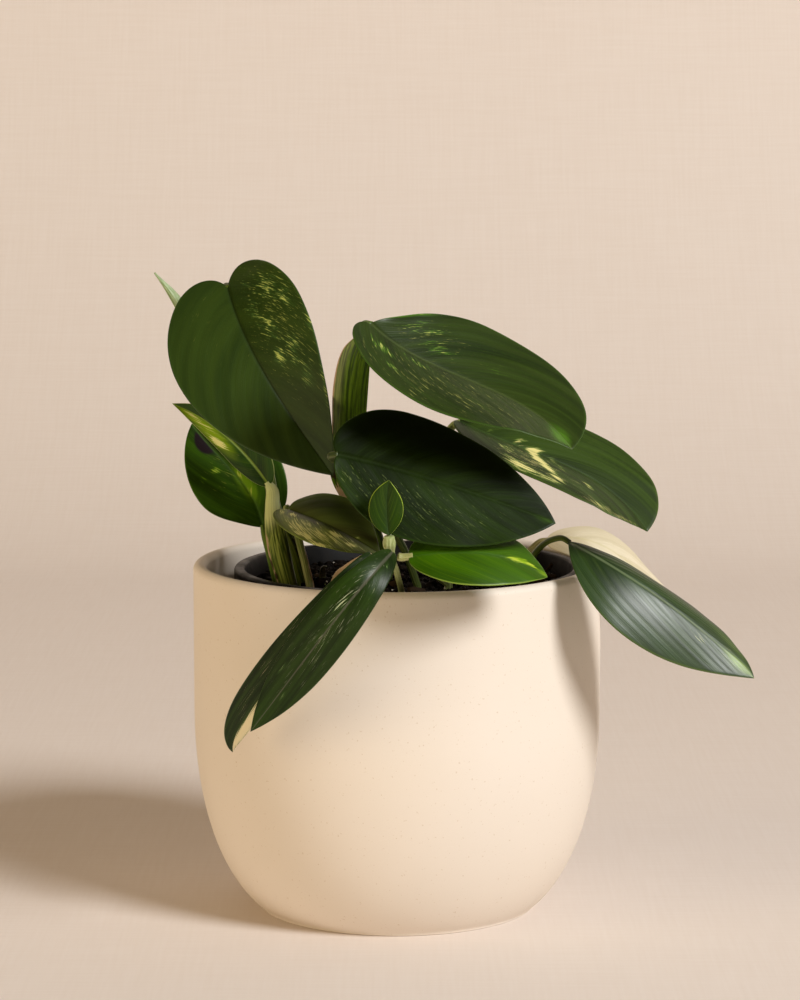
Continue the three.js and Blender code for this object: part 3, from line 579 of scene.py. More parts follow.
def bezier(handles, u):
    """A cubic Bezier curve: its four handles, weighted by (1-u)^3, 3u(1-u)^2, 3u^2(1-u) and u^3."""
    a, b, c, d = np.asarray(handles, float)
    u = np.asarray(u, float)[..., None]
    return (1 - u) ** 3 * a + 3 * u * (1 - u) ** 2 * b + 3 * u**2 * (1 - u) * c + u**3 * d


def bezier_slope(handles, u):
    """Its derivative: the three steps between handles, weighted by (1-u)^2, 2u(1-u) and u^2."""
    a, b, c = 3 * np.diff(np.asarray(handles, float), axis=0)
    u = np.asarray(u, float)[..., None]
    return (1 - u) ** 2 * a + 2 * u * (1 - u) * b + u**2 * c


def ripple(places, waves, shortest, longest, seed):
    """Smooth random relief, about -1 to 1: the mean of sine waves in random directions, whose
    lengths are spread between the shortest and the longest."""
    rng = np.random.default_rng(seed)
    directions = unit(rng.normal(size=(waves, places.shape[-1])))
    lengths = shortest * (longest / shortest) ** rng.random(waves)
    phases = rng.random(waves) * 2 * np.pi
    turns = places @ (directions / lengths[:, None]).T
    return np.sin(2 * np.pi * turns + phases).sum(-1) / math.sqrt(waves)


class Skin:
    """A surface in the making: vertices in millimetres, lists of faces by their number of corners,
    and what its material reads at each vertex."""

    def __init__(self, vertices, faces, reads=None):
        self.vertices = vertices
        self.faces = faces
        self.reads = reads or {}


def grid_faces(rows, columns, around):
    """The quads of a grid of vertices, closed in the direction of its columns if around is true."""
    last = columns if around else columns - 1
    i, j = np.meshgrid(np.arange(rows - 1), np.arange(last), indexing="ij")
    k = (j + 1) % columns
    corners = [i * columns + j, i * columns + k, (i + 1) * columns + k, (i + 1) * columns + j]
    return np.stack(corners, -1).reshape(-1, 4)


def wrap(rows, poles=None, **reads):
    """A closed skin over loops of points: neighbouring loops are joined by quads, and the first and
    the last are closed by a fan to a pole, which is by default their mean."""
    count, around = rows.shape[:2]
    ends = [rows[0].mean(0), rows[-1].mean(0)] if poles is None else poles
    j = np.arange(around)
    k = (j + 1) % around
    pole = np.full(around, count * around)
    top = (count - 1) * around
    fans = np.concatenate([np.stack([pole, k, j], -1), np.stack([pole + 1, top + j, top + k], -1)])
    flat = {}
    for name, values in reads.items():
        values = np.broadcast_to(values, (count, around) + values.shape[2:])
        tail = [values[0].mean(0), values[-1].mean(0)]
        flat[name] = np.concatenate([values.reshape(count * around, *values.shape[2:]), tail])
    vertices = np.concatenate([rows.reshape(-1, 3), np.asarray(ends, float)])
    return Skin(vertices, [grid_faces(count, around, True), fans], flat)


def join(skins):
    """Several skins as one."""
    starts = np.cumsum([0] + [len(skin.vertices) for skin in skins])
    faces = [face + start for skin, start in zip(skins, starts) for face in skin.faces]
    reads = {name: np.concatenate([skin.reads[name] for skin in skins]) for name in skins[0].reads}
    return Skin(np.concatenate([skin.vertices for skin in skins]), faces, reads)


def weld(skin):
    """The skin with vertices that coincide made one."""
    keys = np.round(skin.vertices, 4) + 0.0
    _, first, again = np.unique(keys, axis=0, return_index=True, return_inverse=True)
    again = again.ravel()
    return Skin(skin.vertices[first], [again[face] for face in skin.faces])


def make_piece(name, skin, material, slot, *nodes):
    """Makes a skin a piece that rides on the plant, and that stands for the named nodes."""
    mesh = bpy.data.meshes.new(name)
    corners = np.concatenate([face.ravel() for face in skin.faces])
    sizes = np.concatenate([np.full(len(face), face.shape[1]) for face in skin.faces])
    mesh.vertices.add(len(skin.vertices))
    mesh.vertices.foreach_set("co", (skin.vertices * MM).astype(np.float32).ravel())
    mesh.loops.add(len(corners))
    mesh.loops.foreach_set("vertex_index", corners.astype(np.int32))
    mesh.polygons.add(len(sizes))
    mesh.polygons.foreach_set("loop_start", (np.cumsum(sizes) - sizes).astype(np.int32))
    for label, values in skin.reads.items():
        kind, field = ("FLOAT_VECTOR", "vector") if values.ndim == 2 else ("FLOAT", "value")
        attribute = mesh.attributes.new(label, kind, "POINT")
        attribute.data.foreach_set(field, values.astype(np.float32).ravel())
    mesh.update(calc_edges=True)
    mesh.shade_smooth()
    mesh.materials.append(material)
    piece = bpy.data.objects.new(name, mesh)
    bpy.context.scene.collection.objects.link(piece)
    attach(piece, "root")
    if nodes:
        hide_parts(*nodes)


def rings(profile, sides, middle=0.0):
    """A body of revolution's rings: every [radius, height] of the profile is carried round the
    upright axis through x = middle."""
    angle = np.linspace(0, 2 * np.pi, sides, endpoint=False)
    radius, height = profile[:, :1], profile[:, 1:]
    ring = [middle + radius * np.cos(angle), radius * np.sin(angle), height + 0 * angle]
    return np.stack(ring, -1)


def arc(centre, radius, start, end, steps):
    """Points on a circle between two angles in degrees."""
    angle = np.radians(np.linspace(start, end, steps))
    return np.asarray(centre) + radius * np.stack([np.cos(angle), np.sin(angle)], -1)


def pot_profile(radius, height, wall):
    """The ceramic pot's profile from the middle of its foot to the middle of its floor: a Bezier
    curve from the foot to the upright wall, half a circle over the lip, and the same curve set in
    by the wall's thickness."""

    def belly(inset):
        outer, foot = radius - inset, POT_FOOT_RADIUS - inset
        return bezier(
            (
                (foot, POT_FOOT_BEVEL),
                (foot + POT_BELLY_LEAD[0], POT_BELLY_LEAD[1]),
                (outer, POT_BELLY_HEIGHT - POT_BELLY_RISE),
                (outer, POT_BELLY_HEIGHT),
            ),
            np.linspace(0, 1, BELLY_STEPS),
        )

    bevel_centre = (POT_FOOT_RADIUS - POT_FOOT_BEVEL, POT_FOOT_BEVEL)
    upright = np.linspace(POT_BELLY_HEIGHT, height - wall / 2, UPRIGHT_STEPS + 2)[1:-1]
    inside = belly(wall)[::-1]
    inside = inside[inside[:, 1] > POT_FLOOR + POT_FLOOR_ROUNDING / 2]
    edge = inside[-1]
    corner = bezier(
        (
            edge,
            (edge[0] - POT_FLOOR_ROUNDING / POT_FLOOR_LEADS[0], POT_FLOOR + 0.2),
            (edge[0] - POT_FLOOR_ROUNDING / POT_FLOOR_LEADS[1], POT_FLOOR),
            (edge[0] - POT_FLOOR_ROUNDING, POT_FLOOR),
        ),
        np.linspace(0, 1, 7),
    )[1:]
    return np.concatenate(
        [
            [(share * POT_FOOT_RADIUS, 0.0) for share in (0.3, 0.65, 0.9, 0.965)],
            arc(bevel_centre, POT_FOOT_BEVEL, -90, -20, 5),
            belly(0),
            np.stack([np.full(UPRIGHT_STEPS, radius), upright], -1),
            arc((radius - wall / 2, height - wall / 2), wall / 2, 0, 180, 20),
            np.stack([np.full(UPRIGHT_STEPS, radius - wall), upright[::-1]], -1),
            inside,
            corner,
            [(corner[-1][0] * share, POT_FLOOR) for share in (0.96, 0.6, 0.25)],
        ]
    )


def grower_radius(z):
    """The radius of the grower's pot's wall, which leans out evenly from its foot to its rim."""
    rise = (z - GROWER_FOOT_Z) / (GROWER_RIM_TOP - GROWER_FOOT_Z)
    return GROWER_FOOT_RADIUS + rise * (GROWER_TOP_RADIUS - GROWER_FOOT_RADIUS)


def grower_wall_profile():
    """The grower's pot's wall and rolled rim as a closed loop of [radius, height]: up the outside,
    out under the rim, over its rounded top and down the inside."""
    rim_foot = GROWER_RIM_TOP - GROWER_RIM_DEPTH
    foot, under, edge, top, inside = GROWER_ROUNDINGS
    outer = np.linspace(GROWER_FOOT_Z + 2, rim_foot - 0.6, 12)
    inner = np.linspace(GROWER_RIM_TOP - 1.6, GROWER_FOOT_Z + 0.2, 14)
    return np.concatenate(
        [
            arc((GROWER_FOOT_RADIUS - foot, GROWER_FOOT_Z + foot), foot, -90, 8, 5),
            np.stack([grower_radius(outer), outer], -1),
            arc((grower_radius(rim_foot) + under, rim_foot - under), under, 172, 90, 4),
            arc((GROWER_RIM_RADIUS - edge, rim_foot + edge), edge, -90, 0, 5),
            arc((GROWER_RIM_RADIUS - top, GROWER_RIM_TOP - top), top, 0, 90, 7),
            arc((GROWER_TOP_RADIUS - 0.2, GROWER_RIM_TOP - inside), inside, 90, 175, 7),
            np.stack([grower_radius(inner) - GROWER_WALL, inner], -1),
        ]
    )


def grower_floor():
    """The grower's pot's floor with its drain holes. Each sixth of the disc is a sheet between the
    circle of its hole and its own outline, once for the top and once for the bottom, and the sheets
    are joined by the walls of the holes and the disc's edge."""
    steps = 24
    edge = GROWER_FOOT_RADIUS - GROWER_WALL / 2
    half = np.pi / DRAIN_HOLES
    side = np.linspace(0, edge, steps // 2, endpoint=False)
    swing = np.linspace(-half, half, steps, endpoint=False)
    reach = np.concatenate([side, np.full(steps, edge), edge - side])
    bearing = np.concatenate([np.full(len(side), -half), swing, np.full(len(side), half)])
    border = np.stack([reach * np.cos(bearing), reach * np.sin(bearing)], -1)
    middle = np.array([DRAIN_CIRCLE, 0.0])
    hole = middle + DRAIN_RADIUS * unit(border - middle)
    spread = np.linspace(0, 1, 5)[:, None, None]
    sheet = hole * (1 - spread) + border * spread
    levels = (GROWER_FOOT_Z, GROWER_FOOT_Z + GROWER_FLOOR)
    bearings = 2 * half * np.arange(DRAIN_HOLES)
    parts = []

    def strip(points, flip):
        faces = grid_faces(points.shape[0], points.shape[1], True)
        parts.append(Skin(points.reshape(-1, 3), [faces[:, ::-1] if flip else faces]))

    def raised(flat, z):
        return np.concatenate([flat, np.full(flat.shape[:-1] + (1,), z)], -1)

    for turn in bearings:
        spin = np.array([[np.cos(turn), np.sin(turn)], [-np.sin(turn), np.cos(turn)]])
        for z, flip in zip(levels, (False, True)):
            strip(raised(sheet @ spin, z), flip)
        strip(np.stack([raised(hole @ spin, z) for z in levels]), True)
    rim = np.concatenate([turn + swing for turn in bearings])
    circle = edge * np.stack([np.cos(rim), np.sin(rim)], -1)
    strip(np.stack([raised(circle, z) for z in levels]), False)
    floor = weld(join(parts))
    floor.vertices = floor.vertices + (GROWER_X, 0, 0)
    return floor


def soil_radius(z):
    """The radius of the potting mix at a height: it leaves a gap to the grower's pot's wall."""
    return grower_radius(z) - GROWER_WALL - CLEARANCE


def soil_height(x, y):
    """The height of the potting mix: the mean of a few sine waves that cross, which fades out
    towards the grower's pot, as in the solid."""
    waves = [
        np.sin(2 * np.pi * ((x - GROWER_X) * math.cos(way) + y * math.sin(way)) / length + phase)
        for length, way, phase in SOIL_WAVES
    ]
    inwards = 1 - (np.hypot(x - GROWER_X, y) / soil_radius(SOIL_TOP)) ** 8
    return SOIL_TOP + SOIL_RELIEF * inwards * np.mean(waves, axis=0)


def soil_body(lumps):
    """The potting mix as a closed body: rings from the middle of its underside up its side and over
    its top, where lumps of random relief stand on the waves."""
    foot = GROWER_FOOT_Z + GROWER_FLOOR + CLEARANCE
    rim, low = soil_radius(SOIL_TOP), soil_radius(foot)
    sides = [(low * 0.5, foot), (low * 0.97, foot), (low, foot), (rim - 0.2, SOIL_TOP - 3)]
    tops = [(rim * share, SOIL_TOP) for share in np.linspace(1, 0.012, SOIL_RINGS)]
    profile = np.array(sides + tops)
    rows = rings(profile, SOIL_SIDES, GROWER_X)
    rough = lumps * ripple(rows[..., :2], **SOIL_ROUGHNESS)
    top = soil_height(rows[..., 0], rows[..., 1]) + rough * ease(rim - profile[:, :1], 0, 2)
    rows[len(sides) :, :, 2] = top[len(sides) :]
    return wrap(rows, [(GROWER_X, 0, foot), (GROWER_X, 0, rows[-1, :, 2].mean())])


def loose_grains(count, smallest, largest, tones, lift, seed, stretch):
    """Loose grains on the soil: twenty-faced bodies with shaken corners, turned at random. Their
    sizes are spread evenly between the smallest and the largest on a logarithmic scale."""
    rng = np.random.default_rng(seed)
    corners = []
    for a, b in ((1, ICO), (-1, ICO), (1, -ICO), (-1, -ICO)):
        corners += [(0, a, b), (a, b, 0), (b, 0, a)]
    corners = unit(np.array(corners, float))
    apart = np.linalg.norm(corners[:, None] - corners[None], axis=-1)
    near = (apart > 0.1) & (apart < 1.2)
    faces = [
        (a, b, c) if np.linalg.det(corners[[a, b, c]]) > 0 else (a, c, b)
        for a in range(12)
        for b in range(a + 1, 12)
        for c in range(b + 1, 12)
        if near[a, b] and near[b, c] and near[a, c]
    ]
    size = smallest * (largest / smallest) ** rng.random(count)
    reach = (soil_radius(SOIL_TOP) - 0.7 * size * stretch) * np.sqrt(rng.random(count))
    bearing = rng.random(count) * 2 * np.pi
    x = GROWER_X + reach * np.cos(bearing)
    y = reach * np.sin(bearing)
    z = soil_height(x, y) + lift * size
    turn = np.linalg.qr(rng.normal(size=(count, 3, 3)))[0]
    turn *= np.sign(np.linalg.det(turn))[:, None, None]
    shape = corners * rng.uniform(*GRAIN_SHAKE, (count, 12, 1))
    shape = shape * (stretch, 1, rng.uniform(GRAIN_THIN, 1))
    points = (shape * (size / 2)[:, None, None]) @ turn
    points = points * (1, 1, GRAIN_SUNK) + np.stack([x, y, z], -1)[:, None]
    index = np.array(faces)[None] + 12 * np.arange(count)[:, None, None]
    tone = np.repeat(rng.uniform(*tones, count), 12)
    return Skin(points.reshape(-1, 3), [index.reshape(-1, 3)], {"tone": tone})


def rod(path, radius, tone):
    """A thin rounded rod along a path: circles across it, drawn in towards its ends."""
    path = np.asarray(path, float)
    along = unit(np.gradient(path, axis=0))
    across = unit(np.cross(along, (0.31, 0.2, 0.93)))
    through = np.cross(along, across)
    angle = np.linspace(0, 2 * np.pi, 10, endpoint=False)[:, None]
    share = np.linspace(0, 1, len(path))[:, None, None]
    width = radius * np.minimum(1, TWIG_ENDS[0] + TWIG_ENDS[1] * np.minimum(share, 1 - share))
    circle = across[:, None] * np.cos(angle) + through[:, None] * np.sin(angle)
    rows = path[:, None] + width * circle
    return wrap(rows, tone=np.full(rows.shape[:2], tone))


def through_points(points, extras, at):
    """A centripetal Catmull-Rom spline through points, and through the extra numbers at each of
    them, at positions counted in spans: between two points it is the cubic whose slopes come from
    the neighbours, weighted by the square roots of the distances."""
    spots = np.concatenate([[2 * points[0] - points[1]], points, [2 * points[-1] - points[-2]]])
    more = np.concatenate([[extras[0]], extras, [extras[-1]]])
    full = np.concatenate([spots, more], axis=1)
    gaps = np.sqrt(np.linalg.norm(np.diff(spots, axis=0), axis=1))
    i = np.minimum(np.floor(at).astype(int), len(points) - 2)
    t = (at - i)[:, None]
    p0, p1, p2, p3 = (full[i + k] for k in range(4))
    g0, g1, g2 = (gaps[i + k][:, None] for k in range(3))
    start = g1 * ((p1 - p0) / g0 - (p2 - p0) / (g0 + g1) + (p2 - p1) / g1)
    end = g1 * ((p2 - p1) / g1 - (p3 - p1) / (g1 + g2) + (p3 - p2) / g2)
    cubic = p1 + start * t + (3 * (p2 - p1) - 2 * start - end) * t**2
    return cubic + (2 * (p1 - p2) + start + end) * t**3


class Midrib:
    """A leaf's midrib: a Bezier curve measured along its length."""

    def __init__(self, leaf):
        self.handles = leaf["midrib"]
        self.face = np.array(leaf["face"])
        self.twist = math.radians(leaf["shape"][3])
        self.steps = np.linspace(0, 1, MIDRIB_STEPS + 1)
        line = bezier(self.handles, self.steps)
        self.run = np.append(0, np.cumsum(np.linalg.norm(np.diff(line, axis=0), axis=1)))
        self.length = self.run[-1]

    def frame(self, along):
        """Place, direction, normal and across at distances along the midrib. The normal is the
        leaf's face squared to the midrib, turned about it evenly up to the twist at the tip."""
        share = np.clip(along / self.length, 0, 1)
        u = np.interp(np.clip(along, 0, self.length), self.run, self.steps)
        ahead = unit(bezier_slope(self.handles, u))
        place = bezier(self.handles, u) + ahead * np.minimum(along, 0)[..., None]
        normal = unit(self.face - ahead * (ahead @ self.face)[..., None])
        turn = (self.twist * share)[..., None]
        normal = normal * np.cos(turn) + np.cross(ahead, normal) * np.sin(turn)
        return place, ahead, normal, np.cross(normal, ahead)


def outline(leaf, half, length, t):
    """The flat margin of a half blade as [distance along the midrib, distance out from it]: one
    Bezier curve round the lobe to the widest place, and one from there to the tip."""
    width, lobe, widest, _ = half
    _, point, full, _ = leaf["shape"]
    middle = widest * length
    rest = length - middle
    back = (
        (0, 0),
        (-LOBE_PULL * lobe, LOBE_SPREAD * width),
        (middle - SHOULDER * (middle + lobe), width),
        (middle, width),
    )
    front = (
        (middle, width),
        (middle + full * rest, width),
        (length - TIP_LEAD * rest, point * width),
        (length, 0),
    )
    share = np.clip(t / BACK_SHARE, 0, 1)
    rest_share = np.clip((t - BACK_SHARE) / (1 - BACK_SHARE), 0, 1)
    return np.where((t <= BACK_SHARE)[..., None], bezier(back, share), bezier(front, rest_share))


def marked(thing, kind, first, second, around=None):
    """How strongly a leaf's or a stalk's marks of a kind cover each place: the greatest of the bell
    curves about their centres. The second way closes on itself after the distance around."""
    total = np.zeros(np.broadcast(first, second).shape)
    for here, there, length, width, amount in thing.get("marks", {}).get(kind, ()):
        aside = second - there
        if around:
            aside = (aside + around / 2) % around - around / 2
        bell = np.exp(-(((first - here) / length) ** 2) - (aside / width) ** 2)
        total = np.maximum(total, amount * bell)
    return total


def blade(leaf, settings, seed):
    """A leaf's blade. Its middle surface is a grid of lines t that leave the midrib as the side
    veins do and end on the outline. Across the blade, c runs from -1 over the midrib to 1. A
    point's height over the midrib's plane is its distance out times the sine of the fold, less the
    curl times the square of its share of the width. The upper and the lower skin stand off that
    surface by half the thickness, drawn in to nothing at the margin on a quarter circle. Between
    side veins both skins bulge up, along the midrib the upper one sinks in a groove and the lower
    one stands out as a keel, and towards the margin both rise and fall in two waves.

    The fine veins and flecks lean to the tip from the lines t: one of their lines is where the
    distance past the lines t, less the lean times the distance out, stays the same."""
    rng = np.random.default_rng(seed)
    rows, columns = leaf.get("fineness", BLADE_GRID)
    midrib = Midrib(leaf)
    length = midrib.length
    t = np.linspace(0, 1, rows + 2)[1:-1, None]
    out = np.linspace(0, 1, columns) ** COLUMN_CROWDING * MARGIN_COLUMNS[0]
    out = np.append(out, MARGIN_COLUMNS[1:])
    c = np.concatenate([-out[:0:-1], out])[None, :]
    share, side = np.abs(c), np.where(c >= 0, 1, -1)
    halves = leaf["left"], leaf["right"]
    edges = [outline(leaf, half, length, t[:, 0]) for half in halves]
    width, fold = (np.where(c >= 0, halves[0][i], halves[1][i]) for i in (0, 3))
    end, reach = (np.where(c >= 0, edges[0][:, i, None], edges[1][:, i, None]) for i in (0, 1))
    fold = np.radians(fold)
    start = length * t**VEIN_CROWDING
    along = start + (end - start) * share**VEIN_BEND
    away = reach * share
    place, _, normal, across = midrib.frame(along)
    rise = away * np.sin(fold) - leaf["shape"][0] * (away / width) ** 2
    surface = place + across * (side * away * np.cos(fold))[..., None] + normal * rise[..., None]
    slope = np.gradient(surface, axis=1)
    up = unit(np.cross(np.gradient(surface, axis=0), slope))

    step = np.linalg.norm(np.diff(surface, axis=1), axis=-1)
    run = np.concatenate([np.zeros((rows, 1)), np.cumsum(step, axis=1)], axis=1)
    run = run - run[:, c.shape[1] // 2, None]
    picks = [np.abs(c[0] - middle).argmin() for middle in HALF_MIDDLES]
    drift, line = np.diff(surface[:, picks], axis=0), unit(slope[1:, picks])
    drift = drift - line * (drift * line).sum(-1, keepdims=True)
    passed = np.append(0, np.cumsum(np.linalg.norm(drift, axis=-1).mean(1)))[:, None]
    lean = passed - leaf.get("lean", VEIN_LEAN) * np.abs(run) * (1 + LEAN_GROWTH * share)

    wobble, turn, spread = VEIN_WOBBLE
    phase = leaf["veins"] * lean / passed[-1] + SIDE_SHIFT * side
    phase = phase + wobble * np.sin(turn * t + spread * rng.random())
    window = hill(share, *VEINS_ACROSS) * hill(t, *VEINS_ALONG)
    window = window * (VEINS_OF_SMOOTH if leaf.get("smooth") else 1.0)
    pillow = np.abs(np.sin(np.pi * phase)) ** PILLOW[0] - PILLOW[1]
    size = min(1.0, width.max() / FULL_WIDTH)
    relief = leaf.get("relief", 1.0) * settings.vein_relief / MM * pillow * window * size
    wave = sum(
        amount * np.sin(2 * np.pi * (times * t + rng.random() + shift * side))
        for times, amount, shift in MARGIN_WAVES
    )
    fade = share**RIPPLE_POWER * hill(t, *RIPPLE_ALONG)
    relief = relief + MARGIN_RIPPLE * size * wave * fade
    thick = settings.thickness / MM / 2
    from_edge = np.clip((reach - away) / EDGE_ROUNDING, 0, 1)
    round_off = np.sqrt(1 - (1 - from_edge) ** 2)
    slim = (1 - t) ** SLIMMING
    groove, keel = (
        (deep + deeper * slim) * np.exp(-((away / (wide + wider * slim)) ** 2)) * size
        for deep, deeper, wide, wider in (RIB_GROOVE, RIB_KEEL)
    )
    upper = surface + up * (relief - groove + thick * round_off)[..., None]
    lower = surface + up * (relief - (thick + keel) * round_off)[..., None]

    def loop(top, bottom):
        return np.concatenate([top[:, ::-1], bottom[:, 1:-1]], axis=1)

    cover = {kind: marked(leaf, kind, t, c) for kind in MARK_KINDS}
    # The third look is the light marks less the dark marks. On some leaves these are painted light
    # and shade: highlights at the tips, light through thin tissue and the shadows of the leaves
    # above. On others they are paler and darker tissue.
    looks = np.stack([cover["cream"], cover["fleck"], cover["light"] - cover["dark"]], -1)
    vein_line = np.exp(-(((phase - np.round(phase)) * VEIN_SHARPNESS) ** 2)) * window
    reads = {
        "leaf_place": np.stack([lean, run, c + 0 * t], -1),
        "leaf_looks": looks,
        "leaf_more": np.stack([vein_line, cover["bruise"], 0 * run], -1),
    }
    reads = {label: loop(values, values) for label, values in reads.items()}
    ends = midrib.frame(np.array([0.0, length]))[0]
    return wrap(loop(upper, lower), ends, underside=loop(0 * run, 1 + 0 * run), **reads)


def stalk_line(stalk):
    """The points that a stalk runs through above the soil, up to its joint with its leaf."""
    points = [(*stalk["foot"], SOIL_TOP + STEM_UPRIGHT)] if "foot" in stalk else []
    points = [*points, *stalk["path"]]
    if "leaf" in stalk:
        base, ahead, normal, _ = Midrib(LEAVES[stalk["leaf"]]).frame(np.array(0.0))
        points += [base - ahead * back - normal * below for back, below in JOINTS[stalk["joins"]]]
    return np.array([np.asarray(point, float) for point in points])


def stem(stalk, settings):
    """A stalk: an oval section carried along its spline. Wings thin the section out towards its
    sides, a cup turns them back, ribs run along it, and a rolled leaf has one step round a
    spiral."""
    points = stalk_line(stalk)
    sizes = np.stack([stalk["widths"], stalk.get("depths", stalk["widths"])], -1).astype(float)
    at = np.linspace(0, len(points) - 1, STEM_STEPS * (len(points) - 1) + 1)
    full = through_points(points, sizes, at)
    centre, size = full[:, :3], full[:, 3:]
    along = unit(np.gradient(centre, axis=0))
    if "foot" in stalk:
        drop = np.linspace(STEM_DEPTH + STEM_UPRIGHT, 0, FOOT_STEPS + 1)[:-1, None]
        centre = np.concatenate([centre[:1] - drop * (0, 0, 1), centre])
        size = np.concatenate([np.repeat(size[:1], FOOT_STEPS, axis=0), size])
        along = np.concatenate([np.repeat([[0.0, 0.0, 1.0]], FOOT_STEPS, axis=0), along])
        along[FOOT_STEPS] = unit(along[FOOT_STEPS - 1] + along[FOOT_STEPS + 1])
    across = unit(np.cross((0.0, -1.0, 0.0), along))[:, None]
    through = np.cross(along[:, None], across)
    turn = np.linspace(0, 2 * np.pi, settings.stem_sides, endpoint=False)[None, :]
    wide, deep = size[:, :1] / 2, size[:, 1:] / 2
    flat = ease(wide / deep, *FLATNESS)
    thin = stalk.get("thin", 0.25) * flat
    ribs = 1.0
    for share, (height, number, phase) in ((1 - flat, ROUND_RIBS), (flat, FLAT_RIBS)):
        ribs = ribs + height * np.cos(turn * number + phase) * share
    x = wide * np.cos(turn)
    y = deep * np.sin(turn) * (1 - thin * np.cos(turn) ** 2) * ribs
    y = y - stalk.get("cup", 0.0) * flat * wide * np.cos(turn) ** 2
    if "roll" in stalk:
        begin, twist, width = ROLL_SEAM
        share = np.linspace(0, 1, len(size))[:, None]
        seam = (turn / (2 * np.pi) - begin - twist * share) % 1.0
        step = ease(seam, 0, width)
        spiral = ROLL_SIZE[0] - ROLL_SIZE[1] * stalk["roll"] * (seam * step + 1 - step)
        x, y = x * spiral, y * spiral
    rows = centre[:, None] + across * x[..., None] + through * y[..., None]
    run = np.append(0, np.cumsum(np.linalg.norm(np.diff(centre, axis=0), axis=1)))[:, None]
    height, bearing = run / run[-1], np.degrees(turn)
    cover = {kind: marked(stalk, kind, height, bearing, 360) for kind in MARK_KINDS}
    place = np.stack([x, y, run + 0 * x], -1)
    looks = np.stack([cover["dry"], cover["brown"], cover["light"] - cover["dark"]], -1)
    return wrap(rows, stem_place=place, stem_looks=looks)


# Materials


def add(tree, kind, inputs=None, out=0, ramp=None, **settings):
    """Adds a node with its settings, its sockets' values or the sockets that feed them, and the
    stops of its colour ramp. It gives the output with the number or name out."""
    node = tree.nodes.new(kind)
    for name, value in settings.items():
        setattr(node, name, value)
    for key, value in (inputs or {}).items():
        if isinstance(value, bpy.types.NodeSocket):
            tree.links.new(value, node.inputs[key])
        else:
            node.inputs[key].default_value = value
    if ramp:
        stops = node.color_ramp.elements
        while len(stops) < len(ramp):
            stops.new(1.0)
        for stop, (position, shade) in zip(stops, ramp):
            stop.position, stop.color = position, shade
    return node.outputs[out]


def new_material(name, **constants):
    """A material with one Principled shader, whose own sockets get the constants."""
    material = bpy.data.materials.new(name)
    material.use_nodes = True
    shader = material.node_tree.nodes["Principled BSDF"]
    for socket, value in constants.items():
        shader.inputs[socket.replace("_", " ")].default_value = value
    return material, material.node_tree


def finish(material, tone, roughness, *reliefs):
    """Gives a material's shader its colour, its roughness where it varies, and its reliefs, one on
    the other, each as [height, strength, depth in millimetres]."""
    tree = material.node_tree
    fed = {"Base Color": tone}
    if roughness:
        fed["Roughness"] = roughness
    bump = {}
    for height, strength, depth in reliefs:
        bump.update({"Height": height, "Strength": strength, "Distance": depth * MM})
        bump["Normal"] = fed["Normal"] = add(tree, "ShaderNodeBump", bump)
    for socket, value in fed.items():
        tree.links.new(value, tree.nodes["Principled BSDF"].inputs[socket])
    return material


def pattern(tree, place, sizes, detail, shift=(0, 0, 0), millimetres=1 / MM):
    """Noise on a place, with features of about the given sizes in millimetres along its three axes.
    An infinite size leaves its axis out. One of the place's own units holds that many millimetres:
    1000 on Object coordinates, and 1 on a leaf's or a stalk's attribute."""
    scale = [millimetres / size for size in np.broadcast_to(sizes, 3).tolist()]
    moved = add(tree, "ShaderNodeMapping", {"Vector": place, "Scale": scale, "Location": shift})
    return add(tree, "ShaderNodeTexNoise", {"Vector": moved, "Scale": 1.0, "Detail": detail})


def mixture(tree, *parts):
    """The sum of values, each times its share."""
    total = 0.0
    for value, share in parts:
        terms = {0: value, 1: share, 2: total}
        total = add(tree, "ShaderNodeMath", terms, operation="MULTIPLY_ADD")
    return total


def coats(tree, tone, *layers, curve="SMOOTHSTEP"):
    """Lays colours over a tone, each as [colour, amount, [value, low, high] for each limit]. A coat
    covers by its amount, times how far each of its values has come from low to high."""
    for shade, cover, *limits in layers:
        for value, low, high in limits:
            steps = {"Value": value, "From Min": low, "From Max": high, "To Max": cover}
            cover = add(tree, "ShaderNodeMapRange", steps, interpolation_type=curve)
        tone = add(tree, "ShaderNodeMix", {0: cover, 6: tone, 7: shade}, 2, data_type="RGBA")
    return tone


def ceramic_material(pot):
    """Slip-cast earthenware with a matt cream engobe: a dry, even surface without reflections, a
    faint drift in tone from the coat's thickness, a few specks of the clay, pores of half a
    millimetre, and rings left by the sponge that fettled it."""
    material, tree = new_material("matt_cream_earthenware", IOR=1.5)
    place = add(tree, "ShaderNodeTexCoord", out="Object")
    drift = pattern(tree, place, 38, 3)
    speck = pattern(tree, place, 0.9, 1)
    pores = pattern(tree, place, 0.5, 2)
    sponged = pattern(tree, place, (83.3, 83.3, 2.381), 3)
    tone = coats(
        tree,
        pot.clay[:],
        (pot.clay_shade[:], drift),
        (pot.clay_speck[:], 0.35, (speck, 0.71, 0.76)),
        curve="LINEAR",
    )
    steps = {"Value": drift, "From Min": 0.3, "From Max": 0.7, "To Min": 0.56, "To Max": 0.66}
    rough = add(tree, "ShaderNodeMapRange", steps)
    return finish(material, tone, rough, (sponged, 0.25, 0.12), (pores, 0.3, 0.06))


